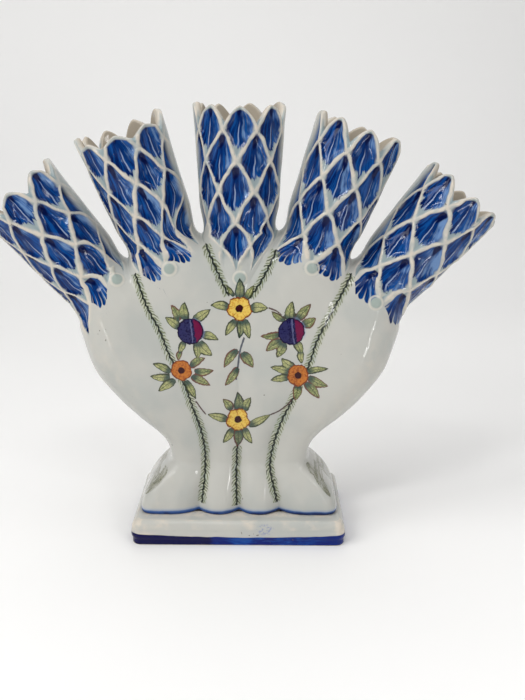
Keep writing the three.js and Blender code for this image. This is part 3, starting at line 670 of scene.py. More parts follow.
def pooled(skin):
    """Positive in hollows, where glaze pools and the colour is darkened as painted shade, negative on
    crests, where it runs thin and the colour is lightened as a painted highlight.
    """
    result, smoothed = 0, skin.points
    for rounds in (3, 9):
        for _ in range(rounds):
            smoothed = skin.neighbour_mean(smoothed)
        result = result + .5 * np.sum((smoothed - skin.points) * skin.normals(), axis=1)
    return result


def place_object(name, data):
    made = bpy.data.objects.new(name, data)
    bpy.context.scene.collection.objects.link(made)
    return made


def piece_from(skin, name, number):
    """A mesh object of one piece of a skin, shaded with the whole skin's normals."""
    faces = skin.faces[skin.pieces == number]
    used, place = np.unique(faces, return_inverse=True)
    polygons = [[p for i, p in enumerate(quad) if p != quad[i - 1]]
                for quad in place.reshape(faces.shape).tolist()]
    mesh = bpy.data.meshes.new(name)
    mesh.from_pydata((skin.points[used] * MM).tolist(), [], polygons)
    # Drops the quads that lie folded together on the middle line of the plinth's floor
    mesh.validate(clean_customdata=False)
    for title, values in skin.numbers.items():
        layer = mesh.attributes.new(title, "FLOAT", "POINT")
        layer.data.foreach_set("value", values[used].astype(np.float32))
    mesh.polygons.foreach_set("use_smooth", np.ones(len(mesh.polygons), bool))
    mesh.normals_split_custom_set_from_vertices(skin.normals()[used].tolist())
    return place_object(name, mesh)


# Painted garland: places across and up on the front, in millimetres
YELLOW, ORANGE, PURPLE = 1, 2, 3
# Each bloom: its middle, half its width and height, and its kind
BLOOMS = [
    (.5, 111.9, 5.8, 5.7, YELLOW), (-.3, 59, 5.7, 6.2, YELLOW),
    (-21.3, 101.8, 5.9, 6, PURPLE), (23.6, 102, 6, 6.1, PURPLE),
    (-25.6, 83.6, 5, 5.3, ORANGE), (26.9, 81.6, 5.1, 5.6, ORANGE),
]
# Each leaf: its base, its tip and half its width
LEAVES = [
    (-2.6, 118.2, -5.3, 122.3, 1.1), (3.9, 116.8, 7, 122.3, 1.6), (-4.9, 112.5, -12.4, 113.6, 2.1),
    (6.1, 112, 13.3, 112.4, 2.4), (-1.9, 106, -5.9, 99.8, 1.9), (3.2, 106, 5.1, 98.5, 2.1),
    (19.7, 107.5, 14.6, 111.2, 1.6), (-1.2, 92.5, -6.5, 85.1, 2.1), (2.2, 91.1, 6.7, 85.3, 2.5),
    (-.8, 84.1, -6.1, 76.4, 2),
    (-3.8, 65, -7.1, 70.1, 2), (3.3, 64.9, 5.7, 70.9, 2), (-5.9, 59.5, -14.3, 62, 2.2),
    (5.6, 56.7, 14.7, 62.1, 2.1), (-3.4, 53.6, -7.4, 47, 2), (3.1, 53.8, 6.3, 46.6, 2.1),
    (22.8, 107.7, 23.9, 115.7, 2.3), (26.5, 107.9, 32.1, 114.4, 2.2), (29.3, 105.3, 34.4, 108, 2.4),
    (17.9, 100.9, 9.7, 99.8, 1.8), (18.5, 97.4, 12.2, 93, 2.3), (20.2, 95.9, 17.1, 90.1, 2.2),
    (25.6, 96.7, 28.6, 91.5, 2), (28, 92.5, 28.6, 87, 1.6),
    (24.3, 86, 19.1, 90, 2.1), (22.5, 83.6, 14.2, 85.9, 1.9), (21.9, 80.6, 14.2, 79.5, 1.9),
    (31.5, 83.3, 40.6, 85, 1.6), (32.4, 80.4, 40.7, 76.6, 2.2), (31, 77.3, 36.8, 70.6, 2.2),
    (26.9, 76.1, 25.8, 69.3, 2.2),
    (-26.8, 107.5, -29.7, 113.8, 1.8), (-23.2, 107.9, -23.8, 115.2, 2.2), (-26.9, 103.8, -32.5, 107.9, 2.2),
    (-19.1, 107, -12.2, 111.8, 2.2), (-15.6, 100.3, -8.7, 98.1, 2), (-16.8, 96.3, -11.5, 90.8, 2.5),
    (-18.8, 95.8, -18.3, 89, 1.9), (-24.5, 96.3, -26.5, 91.5, 1.6), (-26.1, 91.8, -27.1, 88.2, 1.4),
    (-20.6, 86.1, -14.7, 89.8, 1.9), (-18.6, 83.4, -11, 83.9, 2), (-20.1, 80.4, -12.6, 76.7, 2.1),
    (-23.4, 77.8, -19.4, 69.6, 1.9), (-31.4, 83.2, -38.7, 86.9, 1.8), (-32, 80.6, -39.8, 81, 1.9),
    (-29.5, 78.3, -36.3, 73.7, 2.1),
]
# Darker sepals above and below the yellow blooms
SEPALS = [(.5, 116.8, .6, 125.6, 2.3), (.7, 105.9, .3, 98.4, 1.9), (-.3, 64.4, -.4, 73.2, 2.4),
          (-.5, 53.1, -.6, 44.2, 2.4)]
# Loose grey strokes at the foot's outer corners
STROKES = [
    (-34.8, 31.2, -40.7, 23.3, 1.1), (-36.8, 28.9, -45.1, 19.6, 1.1), (-38.3, 30.4, -43.8, 22.9, .8),
    (-33.6, 36.3, -38.2, 30, .8), (-38.4, 30, -45.7, 19.2, .7), (-38.9, 27.7, -43.2, 23, .7),
    (32.8, 33.8, 37.6, 28.9, .8), (36.4, 30.3, 39.4, 25, 1.4), (38.3, 27.6, 43.8, 20.1, 1.1),
    (37.7, 31, 41.1, 26.5, .9), (34.1, 37.1, 39, 28.8, .8),
]
OLIVE, TEAL, GREY = 0, 1, 2
LEAF_NUMBERS = ("leaf_edge", "leaf_side", "leaf_along", "leaf_tone", "leaf_kind")
SPRAY_NUMBERS = ("spray_run", "spray_side", "spray_away")
GARLAND_TOP = 142
# Keeps the strokes of one spray apart from another's
SPRAY_OFFSET = 400
# Length along a spray from stroke to stroke and from bend to bend
STROKE_SPACING = 1.65
ZIGZAG = 3.3
# Angle of one brush stroke in a fan
FINGER_SPREAD = .17
# How far the leaves' blunt heels run under the blooms
LEAF_HEEL = 1.1
# Fern sprays down the folds, from their tops
SPRAYS = [
    [(-45.9, 126.3), (-40, 111.2), (-35.1, 101.9), (-31.2, 91.3), (-28.7, 85.7), (-24.1, 75.6),
     (-20.9, 64.8), (-17.5, 53.3), (-16, 42.8), (-16, 33), (-16.5, 25.4), (-17.6, 16.7)],
    [(50.3, 126.1), (43.1, 113.6), (38.3, 104.4), (34.8, 96.8), (32.1, 87.9), (27.7, 76.6), (23.7, 67.5),
     (20.1, 59.1), (17, 48.7), (15.3, 40.4), (14.8, 33), (16.6, 24.3), (18.2, 17.2)],
    [(-.8, 45), (-1.2, 32.1), (-1.1, 22.8), (-.9, 15.4)],
    [(-14.6, 139), (-11.3, 132.1), (-7.8, 124.7), (-4.3, 117.8)],
    [(16.6, 137.1), (13.5, 130.5), (9, 122.5), (5, 116.9)],
]
# Thin brown tendrils, and the two thicker stems at the middle
TENDRILS = [[(-19.4, 68.6), (-17.2, 65), (-15, 61.9)],
            [(14.7, 62), (18.2, 63.6), (21.9, 66.5), (24.2, 69.6)],
            [(13.3, 112.6), (16.9, 111.2), (19.5, 109)]]
STEMS = [[(2.6, 99), (.7, 92.5), (-.3, 84.8), (-1.1, 79.2)], [(.6, 105.7), (.5, 98.8)]]


def path_numbers(across, up, path):
    """Run along a smooth path and signed distance from it, for each point."""
    fine = curve_through(path, np.linspace(0, 1, 16 * len(path)))
    steps = np.linalg.norm(np.diff(fine, axis=0), axis=1)
    run = np.concatenate([[0], np.cumsum(steps)])
    best_gap, best_run, best_side = (np.full(len(across), float(value)) for value in (FAR, 0, 1))
    for (x0, z0), (x1, z1), start, length in zip(fine[:-1], fine[1:], run, steps):
        dx, dz = (x1 - x0) / length, (z1 - z0) / length
        ahead = np.clip((across - x0) * dx + (up - z0) * dz, 0, length)
        gap = np.hypot(across - x0 - ahead * dx, up - z0 - ahead * dz)
        side = (across - x0) * dz - (up - z0) * dx
        closer = gap < best_gap
        best_gap = np.where(closer, gap, best_gap)
        best_run = np.where(closer, start + ahead, best_run)
        best_side = np.where(closer, np.sign(side), best_side)
    beyond = (best_run <= 0) | (best_run >= run[-1] - 1e-6)
    return best_run, np.where(beyond & (best_gap > .4), FAR, best_gap), best_side


def leaf_numbers(across, up, leaf, bend):
    """How deep a point lies in a pointed leaf, its place across it and along it."""
    x0, z0, x1, z1, half = leaf
    length = math.hypot(x1 - x0, z1 - z0)
    dx, dz = (x1 - x0) / length, (z1 - z0) / length
    x0, z0, length = x0 - dx * LEAF_HEEL, z0 - dz * LEAF_HEEL, length + LEAF_HEEL
    along = ((across - x0) * dx + (up - z0) * dz) / length
    inner = np.clip(along, 0, 1)
    side = (across - x0) * dz - (up - z0) * dx + bend * half * np.sin(math.pi * inner)
    width = half * np.sin(math.pi * (.1 + .9 * inner) ** .85) ** .8
    beyond = np.abs(along - inner) * length
    edge = np.where(beyond > 0, -np.hypot(beyond, side), (width - np.abs(side)) * .85)
    return edge, side / half, inner


def keep(numbers, here, chosen, **found):
    """Sets the named numbers to what was found at the chosen ones of these points."""
    for name, value in found.items():
        numbers[name][here[chosen]] = np.broadcast_to(value, here.shape)[chosen]


def paint_garland(skin):
    """Keeps, at each outer point, where it lies in the painted leaves, blooms, sprays and stems."""
    points, numbers = skin.points, skin.numbers
    outer = np.where(numbers["inside"] < OUTSIDE)[0]
    blank = {"leaf_edge": -9, "leaf_side": 0, "leaf_along": 0, "leaf_tone": 0, "leaf_kind": 0,
             "bloom_x": 9, "bloom_z": 9, "bloom_kind": 0, "bloom_near": 9, "spray_run": 0,
             "spray_away": 9, "spray_side": 0, "tendril": 9, "stem": 9}
    for name, value in blank.items():
        numbers[name] = np.full(len(points), float(value))
    leaves = [(leaf, kind) for kind, group in ((OLIVE, LEAVES), (TEAL, SEPALS), (GREY, STROKES))
              for leaf in group]
    for facing in (-1, 1):
        here = outer[(points[outer, 1] * facing > 0) & (points[outer, 2] < GARLAND_TOP)]
        across, up = -facing * points[here, 0], points[here, 2]

        for count, (leaf, kind) in enumerate(leaves):
            edge, side, along = leaf_numbers(across, up, leaf, .3 * math.sin(count * 2.4))
            keep(numbers, here, edge > numbers["leaf_edge"][here], leaf_edge=edge, leaf_side=side,
                 leaf_along=along, leaf_tone=math.sin(count * 5.7) * .5 + .5, leaf_kind=kind)
        for x, z, wide, high, kind in BLOOMS:
            aside, above = (across - x) / wide, (up - z) / high
            reach = np.hypot(aside, above)
            keep(numbers, here, reach < numbers["bloom_near"][here], bloom_near=reach, bloom_x=aside,
                 bloom_z=above, bloom_kind=kind)
        for count, path in enumerate(SPRAYS):
            run, gap, side = path_numbers(across, up, path)
            keep(numbers, here, gap < numbers["spray_away"][here], spray_run=run + SPRAY_OFFSET * count,
                 spray_away=gap, spray_side=gap * side)
        for name, paths in (("tendril", TENDRILS), ("stem", STEMS)):
            for path in paths:
                gap = path_numbers(across, up, path)[1]
                numbers[name][here] = np.minimum(numbers[name][here], gap)


def colour(red, green, blue):
    """A screen colour, 0 to 255, as the linear values that shaders take."""
    parts = np.array([red, green, blue]) / 255
    linear = np.where(parts <= .04045, parts / 12.92, ((parts + .055) / 1.055) ** 2.4)
    return (*linear, 1)


def operator(operation, swapped=False):
    """A method that takes up its operation in a node."""
    def method(value, *others):
        return value.paint.math(operation, *((*others, value) if swapped else (value, *others)))
    return method


class Value:
    """A socket of a material that can be reckoned with like a number."""

    def __init__(self, paint, socket):
        self.paint, self.socket = paint, socket

    __add__ = __radd__ = operator("ADD")
    __mul__ = __rmul__ = operator("MULTIPLY")
    __sub__ = operator("SUBTRACT")
    __rsub__ = operator("SUBTRACT", swapped=True)
    __truediv__ = operator("DIVIDE")
    __abs__ = operator("ABSOLUTE")
    __floor__ = operator("FLOOR")


class Paint:
    """A glazed material built up from numbers kept on the mesh."""

    def __init__(self, name):
        self.material = bpy.data.materials.new(name)
        self.material.use_nodes = True
        self.tree = self.material.node_tree
        self.kept = {}

    def link(self, socket, value):
        if isinstance(value, Value):
            self.tree.links.new(value.socket, socket)
        else:
            socket.default_value = value

    def node(self, kind, output, inputs, **settings):
        """Adds a node with these settings and inputs, and gives one of its outputs."""
        node = self.tree.nodes.new("ShaderNode" + kind)
        for name, setting in settings.items():
            setattr(node, name, setting)
        for name, value in inputs.items():
            self.link(node.inputs[name], value)
        return Value(self, node.outputs[output])

    def math(self, operation, *inputs, clamp=False):
        return self.node("Math", 0, dict(enumerate(inputs)), operation=operation, use_clamp=clamp)

    def __getitem__(self, name):
        """One of the numbers that the mesh keeps at its points."""
        if name not in self.kept:
            self.kept[name] = self.node("Attribute", "Fac", {}, attribute_name=name)
        return self.kept[name]

    def place(self):
        """Position on the object, in millimetres."""
        if "place" not in self.kept:
            metres = self.node("TexCoord", "Object", {})
            self.kept["place"] = self.node("VectorMath", 0, {0: metres, "Scale": 1 / MM}, operation="SCALE")
        return self.kept["place"]

    def axis(self, name):
        return self.node("SeparateXYZ", name, {0: self.place()})

    def vector(self, *parts):
        return self.node("CombineXYZ", 0, dict(enumerate(parts)))

    def noise(self, size, where=None, detail=2, roughness=.5):
        """Soft noise of 0 to 1 around .5, whose blots are about as wide as size."""
        return self.node("TexNoise", "Fac", {"Vector": where or self.place(), "Scale": 1 / size,
                                             "Detail": detail, "Roughness": roughness})


def step(low, high, value):
    """0 before low, 1 beyond high, with a soft step between."""
    return value.paint.node("MapRange", "Result", {"Value": value, "From Min": low, "From Max": high},
                            interpolation_type="SMOOTHSTEP")


def clamp(value):
    return value.paint.math("ADD", value, 0, clamp=True)


def least(value, *others):
    for other in others:
        value = value.paint.math("MINIMUM", value, other)
    return value


def over(under, *layers):
    """Lays colours over one another, each given with the amount that covers."""
    for top, amount in layers:
        under, top = (colour(*one) if isinstance(one, tuple) else one for one in (under, top))
        under = amount.paint.node("Mix", "Result", {"Factor": amount, "A": under, "B": top},
                                  data_type="RGBA")
    return under


# Screen colours of the glaze, the net's blues and the clay
WHITE = (189, 188, 181)
COOL_WHITE = (177, 179, 174)
# Warm white on crests: thin glaze, and a painted highlight
THIN_GLAZE_AND_HIGHLIGHT = (208, 199, 185)
INNER_WHITE = (178, 168, 152)
# Grey-blue in hollows: pooled glaze, and painted shade
POOLED_GLAZE_AND_SHADE = (126, 144, 148)
HOLLOW_GREY = (140, 155, 158)
COBALT = (12, 72, 140)
DEEP_COBALT = (0, 34, 90)
CORE_BLUE = (0, 22, 78)
# Paler blue for a painted highlight and darker blue for painted shade in the net's hollows
PAINTED_HIGHLIGHT_BLUE = (116, 150, 194)
SHADE_BLUE = (0, 14, 66)
OUTLINE_BLUE = (2, 26, 92)
VEIN_BLUE = (150, 166, 194)
NAVY = (0, 12, 60)
BARE_CLAY = (176, 166, 146)
SPECK_BROWN = (92, 84, 76)
# Screen colours of the beads below the net
FUNNEL_WHITE = (190, 190, 178)
BEAD_GREY = (156, 167, 160)
RING_WHITE = (202, 199, 187)
# Screen colours of the garland's leaves and the loose strokes
LEAF_INK = (34, 40, 26)
BROWN_INK = (96, 46, 40)
STROKE_GREY = (134, 134, 112)
DARK_STROKE = (84, 84, 62)
LEAF_OLIVE = (134, 140, 84)
PALE_OLIVE = (176, 174, 118)
DEEP_OLIVE = (72, 92, 52)
HEEL_TEAL = (24, 58, 58)
SEPAL_TEAL = (30, 64, 60)
LEAF_VEIN = (44, 54, 34)
# Screen colours of the blooms
PETAL_YELLOW = (220, 190, 94)
WORN_YELLOW = (200, 148, 56)
CREASE_BROWN = (150, 84, 34)
PETAL_ORANGE = (184, 112, 48)
DEEP_ORANGE = (146, 74, 34)
PETAL_PURPLE = (40, 40, 84)
DEEP_PURPLE = (14, 8, 54)
PLUM_RED = (110, 16, 60)
FOLD_LILAC = (112, 116, 156)
EYE_BROWN = (52, 16, 20)
RIM_BROWN = (112, 52, 34)
RIM_PURPLE = (24, 14, 44)
HALO_BLUE = (132, 142, 190)
# Screen colours of the fern sprays, stems and tendrils
WASH_OLIVE = (178, 182, 140)
WASH_TEAL = (138, 154, 144)
FERN_DARK = (52, 60, 44)
FERN_PALE = (112, 118, 84)
FERN_STEM = (26, 32, 32)
STEM_BLUE = (58, 64, 78)
TENDRIL_BROWN = (72, 46, 46)
# Screen colours of the line at the foot and the band round the plinth
LINE_BLUE = (4, 30, 88)
LINE_PALE = (28, 68, 132)
LINE_EDGE = (74, 108, 160)
LINE_GLOW = (128, 150, 186)
BAND_BLUE = (0, 26, 108)
BAND_PALE = (14, 70, 150)
BAND_STREAK = (96, 134, 184)
BAND_RIGHT = (0, 8, 98)
BAND_LEFT = (0, 0, 64)
SMEAR_BLUE = (104, 118, 176)
# Gloss of the glaze and the slight ripple of its surface, in millimetres
GLAZE_ROUGHNESS = .1
GLAZE_IOR = 1.3
RIPPLE_HEIGHT = .5
RIPPLE_STRENGTH = .35
# Top of the plinth's blue band at its middle, and the place of a faint blue smear above it
BAND_TOP = 4.6
SMEAR_PLACE = (12.5, 8.2)


def bare_glaze(paint):
    """Tin-white glaze: cool grey-blue where it pools in hollows, also as painted shade, and warm where it
    runs thin over a crest, also as a painted highlight.
    """
    pool, blotch = paint["pool"], paint.noise(4)
    return over(
        WHITE,
        (COOL_WHITE, step(.4, .66, paint.noise(26, detail=3)) * .8),
        # Pooled glaze in hollows and folds, darkened further as painted shade
        (POOLED_GLAZE_AND_SHADE, step(.02, .26, pool + (blotch - .5) * .06) * .8),
        # Thin glaze on crests, lightened as a painted highlight
        (THIN_GLAZE_AND_HIGHLIGHT, step(-.03, -.2, pool) * step(.3, .62, blotch)),
        (INNER_WHITE, step(.25, .8, paint["inside"])))


def net_painting(paint, base):
    """Cobalt leaves brushed into the net's hollows from a dark tip down to a ragged end, with a painted
    highlight on the upper right of each and painted shade on the lower left.
    """
    across, up, depth, kind, tone = (paint[name] for name in CELL_NUMBERS)
    wide, shift = abs(across), tone - .5
    seeds = paint.vector(across / (1.3 - up) * 8, up * .6, tone * 40)
    streak = paint.noise(1, seeds, detail=4, roughness=.7)
    rough = streak - .5
    sway = paint.noise(.8, paint.vector(across * 1.3, up * 1.3, tone * 40 + 7)) - .5
    is_bare = step(2.3, 2.7, kind)
    is_fan = step(1.3, 1.7, kind) * (1 - is_bare)
    # The leaf ends at the rib's margin, at its ragged foot, its tip, its sides and below the rim
    margin = .125 + least(up, 0) * .08
    foot = up + .6 + shift * .2 - wide * .5 + rough * .85
    edge = least(depth - margin + rough * .14, foot, (.9 - up) * .5, (.78 - wide + rough * .12) * .5,
                 (paint["below_rim"] - 1.5) * .1)
    leaf = step(-.035, .045, edge)
    shown = (leaf + (fan_strokes(paint, across, up, tone) - leaf) * is_fan) * (1 - is_bare)
    core = (1 - step(.08, .26, abs(across + sway * .2))) * step(-.7, .1, up)
    # Painted highlight: paler blue on the upper right of each hollow, where it faces the light; painted
    # shade: darker blue on its lower left
    painted_highlight = step(.14, .7, across * .5 + up * .3 + sway * 1.9 + rough * 2.3)
    shade = step(.1, .6, (0 - across) * .7 - up * .35 + rough * 1.6)
    drop = paint.math("MAXIMUM", (up - .74) * 7, (.74 - up) * 2.3)
    side = across * 4.6 + shift * .5
    tip = side * side + drop * drop + rough * .5
    vein = abs(across + sway * .03) / (.022 + clamp(.3 - up) * .034)
    vein = (1 - step(.6, 1.3, vein)) * (1 - step(.1, .42, up + shift * .4)) * (1 - is_fan)
    blue = over(
        COBALT,
        (DEEP_COBALT, step(.4, .6, streak)),
        (CORE_BLUE, core * .65),
        # The painted highlight and the painted shade over the brushed cobalt
        (PAINTED_HIGHLIGHT_BLUE, painted_highlight * .78 * (1 - core * .5)),
        (SHADE_BLUE, shade * .75),
        (OUTLINE_BLUE, (1 - step(.01, .06, edge)) * .4 * (1 - is_fan)),
        (NAVY, 1 - step(.35, .85, tip)),
        (VEIN_BLUE, vein * step(-.62, -.45, up + rough * .3) * .75))
    hollow = step(.02, .16, depth) * (1 - is_bare) * (1 - is_fan)
    bare = clamp(paint["net_plain"] + step(.05, .3, paint["inside"]))
    return over(base, (HOLLOW_GREY, hollow * (.35 + step(.4, -.7, up) * .5)), (blue, shown * (1 - bare)))


def fan_strokes(paint, across, up, tone):
    """Loose brush strokes that spread downwards from one dab, all in millimetres."""
    down = 9 - up * 11.2 + (tone - .5) * 1.4
    turn = across * 6.6 / (down + 2.6) + (tone - .5) * .1
    wave = turn / FINGER_SPREAD + tone * 3
    finger = math.floor(wave)
    phase = abs(wave - finger - .5) * 2
    reach = 12 - turn * turn * 14 + paint.noise(1, paint.vector(finger * 3.1, tone * 50, 2), detail=0) * 3
    slit = step(.7, 1, phase) * step(.5, .95, down / reach)
    inside = step(-.2, .3, reach - phase * phase * 1.4 - down) * step(-.1, .5, down) * (1 - slit)
    return inside * (1 - step(.42, .46, abs(turn))) * step(.13, .19, paint["cell_depth"])


def bead_painting(paint, base):
    """Grey-blue bosses in a pale ring, under pale funnels from the net's ribs."""
    away = paint["bead"]
    return over(
        base,
        (FUNNEL_WHITE, step(.1, .9, paint["funnel"]) * .8),
        (BEAD_GREY, 1 - step(2, 2.7, away)),
        (RING_WHITE, (1 - step(.2, .65, abs(away - 3))) * .75))


def leaf_painting(paint, base):
    """Olive leaves in a thin wash with a dark, uneven outline and vein."""
    edge, side, along, tone, kind = (paint[name] for name in LEAF_NUMBERS)
    waver, brush = paint.noise(1.2), paint.noise(.6)
    edge = edge + (waver - .5) * .6
    loose = step(1.4, 1.6, kind)
    vein = 1 - step(.04, .14, abs(side + (waver - .5) * .4))
    rim = 1 - step(.14, .44, edge - step(-.5, .6, side) * .3 + (brush - .5) * .3)
    ink = over(LEAF_INK, (BROWN_INK, step(.6, .8, tone)))
    grey = over(STROKE_GREY, (DARK_STROKE, step(.42, .6, brush)))
    olive = over(
        LEAF_OLIVE,
        (PALE_OLIVE, step(.4, .62, waver + edge * .1)),
        (DEEP_OLIVE, step(.45, .75, brush + tone * .15) * .85),
        (HEEL_TEAL, (1 - step(.14, .42, along + (brush - .5) * .3)) * .9),
        (SEPAL_TEAL, step(.4, .6, kind) * (1 - step(.3, .9, edge) * .6)),
        (LEAF_VEIN, vein * step(.08, .2, along) * .7),
        (ink, rim * .9),
        (grey, loose))
    hatch = step(.38, .6, paint.noise(.8, paint.vector(side * 1.8, along * 1.2, tone * 20)))
    return over(base, (olive, step(-.08, .08, edge) * (.94 - loose * .1 - loose * hatch * .6)))


def bloom_painting(paint, base):
    """Notched yellow and orange blooms with dark eyes, and round purple ones in two halves."""
    x, z, kind = paint["bloom_x"], paint["bloom_z"], paint["bloom_kind"]
    known = 1 - step(1.25, 1.4, paint["bloom_near"])
    sway, brush = paint.noise(1.6) - .5, paint.noise(.9, detail=3)
    reach = paint.math("SQRT", x * x + z * z) + sway * .22
    turn = paint.math("ARCTAN2", z, x) + (paint.noise(3, detail=1) - .5) * .8
    petals = paint.math("COSINE", turn * 5 + 1.4)
    is_orange, is_purple = step(1.4, 1.6, kind), step(2.4, 2.6, kind)
    rim = .93 + petals * (.06 - is_orange * .03)
    rim = rim + (.99 - rim) * is_purple
    crease = step(.93, .985, 0 - petals) * step(.35, .5, reach)
    yellow = over(
        PETAL_YELLOW,
        (WORN_YELLOW, step(.42, .7, brush + reach * .24 - .14)),
        (CREASE_BROWN, crease * .6))
    orange = over(PETAL_ORANGE, (DEEP_ORANGE, step(.42, .68, brush)))
    split = x + z * .12 + sway * .25
    purple = over(
        PETAL_PURPLE,
        (DEEP_PURPLE, step(.4, .6, brush + split * .15)),
        (PLUM_RED, step(.26, .4, split) * .9),
        (FOLD_LILAC, (1 - step(.02, .08, abs(split - .1))) * .55))
    petal = over(
        yellow,
        (orange, is_orange),
        (EYE_BROWN, 1 - step(.27, .33, reach)),
        (purple, is_purple),
        (over(RIM_BROWN, (RIM_PURPLE, is_purple)),
         step(-.14, -.05, reach - rim) * step(.3, .5, brush + .06)))
    glow = (1 - step(1, 1.14, reach)) * is_purple * step(.3, .9, x + z * .4)
    return over(
        base,
        (HALO_BLUE, glow * known * .4),
        (petal, (1 - step(-.02, .03, reach - rim)) * known))


def spray_painting(paint, base):
    """Dark zigzag stems with short blotted strokes to both sides, over a green-grey wash."""
    run, side, away = (paint[name] for name in SPRAY_NUMBERS)
    near, left = 1 - step(3, 3.4, away), step(-.01, .01, side)
    drift, blot = paint.noise(4, detail=1), (paint.noise(.8) - .5) * .6
    beat = run / STROKE_SPACING - away * .62 + left * .5 + drift * 2.2
    stroke = math.floor(beat)
    tint = paint.noise(1, paint.vector(stroke * 1.9, left * 7, 9), detail=0)
    length = .9 + paint.noise(1, paint.vector(stroke * 3.7, left * 11, 3), detail=0) * 2.3
    arm = 1 - step(.18, .36, abs(beat - stroke - .5) + blot + away * .02)
    arm = arm * (1 - step(-.3, .25, away - length))
    wash = (1 - step(.4, 2.9, away + (drift - .5) * 1.5)) * .55
    half = run / ZIGZAG + drift * .7
    bend = abs(half - math.floor(half) - .5) * 1.1 - .27
    stem = 1 - step(.3, .6, abs(side + bend + (paint.noise(1.6, detail=1) - .5) * .5) + blot * .6)
    return over(
        base,
        (over(WASH_OLIVE, (WASH_TEAL, step(.42, .58, tint))), wash * near),
        (over(FERN_DARK, (FERN_PALE, step(.38, .62, tint + away * .06))), arm * near * .82),
        (FERN_STEM, stem * near * .95))


def stem_painting(paint, base):
    """The garland's thicker stems and its thin brown tendrils."""
    waver = paint.noise(1.3, detail=1) * .3
    stem = 1 - step(.45, .7, paint["stem"] + waver)
    tendril = 1 - step(.3, .55, paint["tendril"] + waver - .1)
    return over(base, (STEM_BLUE, stem * .9), (TENDRIL_BROWN, tendril * .9))


def foot_line(paint, base):
    """Dark blue in the joint where the foot stands on the plinth, with a faint glow above."""
    low = paint.axis("Z") - PLINTH_HEIGHT + (paint.noise(7) - .5) * .8
    blue = over(
        LINE_BLUE,
        (LINE_PALE, step(.4, .6, paint.noise(9))),
        (LINE_EDGE, step(1.1, 1.9, low) * .8))
    return over(
        base,
        (LINE_GLOW, (1 - step(1.9, 3.4, low)) * .6),
        (blue, (1 - step(1.7, 2.3, low)) * .95))


def band_painting(paint, base):
    """A brushed blue band round the plinth's base, navy to the left, with a thin bare line under it."""
    across, height = paint.axis("X"), paint.axis("Z")
    stretched = paint.node("VectorMath", 0, {0: paint.place(), 1: (.25, .25, 1.6)}, operation="MULTIPLY")
    streak = paint.noise(1.1, stretched, detail=4)
    rough = streak - .5
    blue = over(
        BAND_BLUE,
        (BAND_PALE, step(.4, .62, paint.noise(17) + rough * .6)),
        (BAND_STREAK, step(.6, .8, streak) * .4),
        (BAND_RIGHT, step(28, 44, across) * .8),
        (BAND_LEFT, 1 - step(-14, -11, across + rough * 5)))
    rise = abs(across) / 50
    top = height - BAND_TOP - rise * rise * 1.3 + (paint.noise(14) - .5) * 1.2
    aside, above = (across - SMEAR_PLACE[0]) / 5, (height - SMEAR_PLACE[1]) / 3
    smear = (1 - step(.2, 1, aside * aside + above * above)) * step(.5, .62, paint.noise(1.2))
    return over(
        base,
        (blue, 1 - step(-.12, .12, top)),
        (SMEAR_BLUE, smear * .5),
        (BARE_CLAY, 1 - step(.15, .4, height + rough * .5)))


def glaze(name, *layers):
    """A glazed material: the bare glaze, the painted layers and a few specks."""
    paint = Paint(name)
    base = bare_glaze(paint)
    for layer in layers:
        base = layer(paint, base)
    specks = step(.8, .82, paint.noise(1.3, detail=0)) * step(.66, .7, paint.noise(11, detail=0))
    ripple = paint.noise(6) * .7 + paint.noise(1.6) * .15
    inputs = paint.tree.nodes["Principled BSDF"].inputs
    inputs["Roughness"].default_value = GLAZE_ROUGHNESS
    inputs["IOR"].default_value = GLAZE_IOR
    paint.link(inputs["Base Color"], over(base, (SPECK_BROWN, specks * .7)))
    paint.link(inputs["Normal"], paint.node("Bump", "Normal", {
        "Strength": RIPPLE_STRENGTH, "Distance": RIPPLE_HEIGHT * MM, "Height": ripple}))
    return paint.material


def replace_node(piece, node, material):
    piece.data.materials.append(material)
    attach(piece, "root")
    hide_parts(node)


vase = vase_skin()
loose = np.exp(-(vase.numbers["fold"] / FOLD_REACH) ** 2)
waist = np.exp(-((vase.points[:, 2] - WAIST_HEIGHT) / WAIST_REACH) ** 2)
vase.soften(np.maximum(loose, waist) * (vase.numbers["inside"] == 0), SOFTEN_ROUNDS)
raise_relief(vase)
paint_garland(vase)
vase.numbers["pool"] = pooled(vase)
plinth = plinth_skin()
plinth.numbers["pool"] = pooled(plinth)

body_glaze = glaze("body_glaze_painted", net_painting, bead_painting, spray_painting, stem_painting,
                   leaf_painting, bloom_painting)
spout_glaze = glaze("spout_glaze_painted", net_painting)
foot_glaze = glaze("foot_glaze_painted", foot_line, spray_painting, leaf_painting)
plinth_glaze = glaze("plinth_glaze_painted", band_painting)
for number, node in enumerate(PIECES):
    piece = piece_from(vase, node + "_glazed", number)
    if number >= FIRST_SPOUT:
        replace_node(piece, node, spout_glaze)
    else:
        replace_node(piece, node, foot_glaze if number == FOOT else body_glaze)
replace_node(piece_from(plinth, "plinth_glazed", 0), "plinth", plinth_glaze)

# Stage: a pale floor that sweeps up behind, soft lights and the camera
CAMERA_PLACE = (.0108, -.3874, .2016)
CAMERA_PITCH = math.radians(16.5)
CAMERA_ROLL = math.radians(.39)
SENSOR_LONG = 36
PICTURE_LONG, FOCAL_PIXELS = 700, 853
# The floor's front edge, where it starts to bend up, how wide the bend is, and the wall's top
FLOOR_FRONT, BEND_START, BEND_RADIUS, WALL_TOP = -1.5, .45, .35, 2.2
FLOOR_HALF_WIDTH = 2
FLOOR_COLOUR, FLOOR_ROUGHNESS = (245, 244, 242), .5
WORLD_COLOUR, WORLD_STRENGTH = (.9, .93, 1, 1), .13
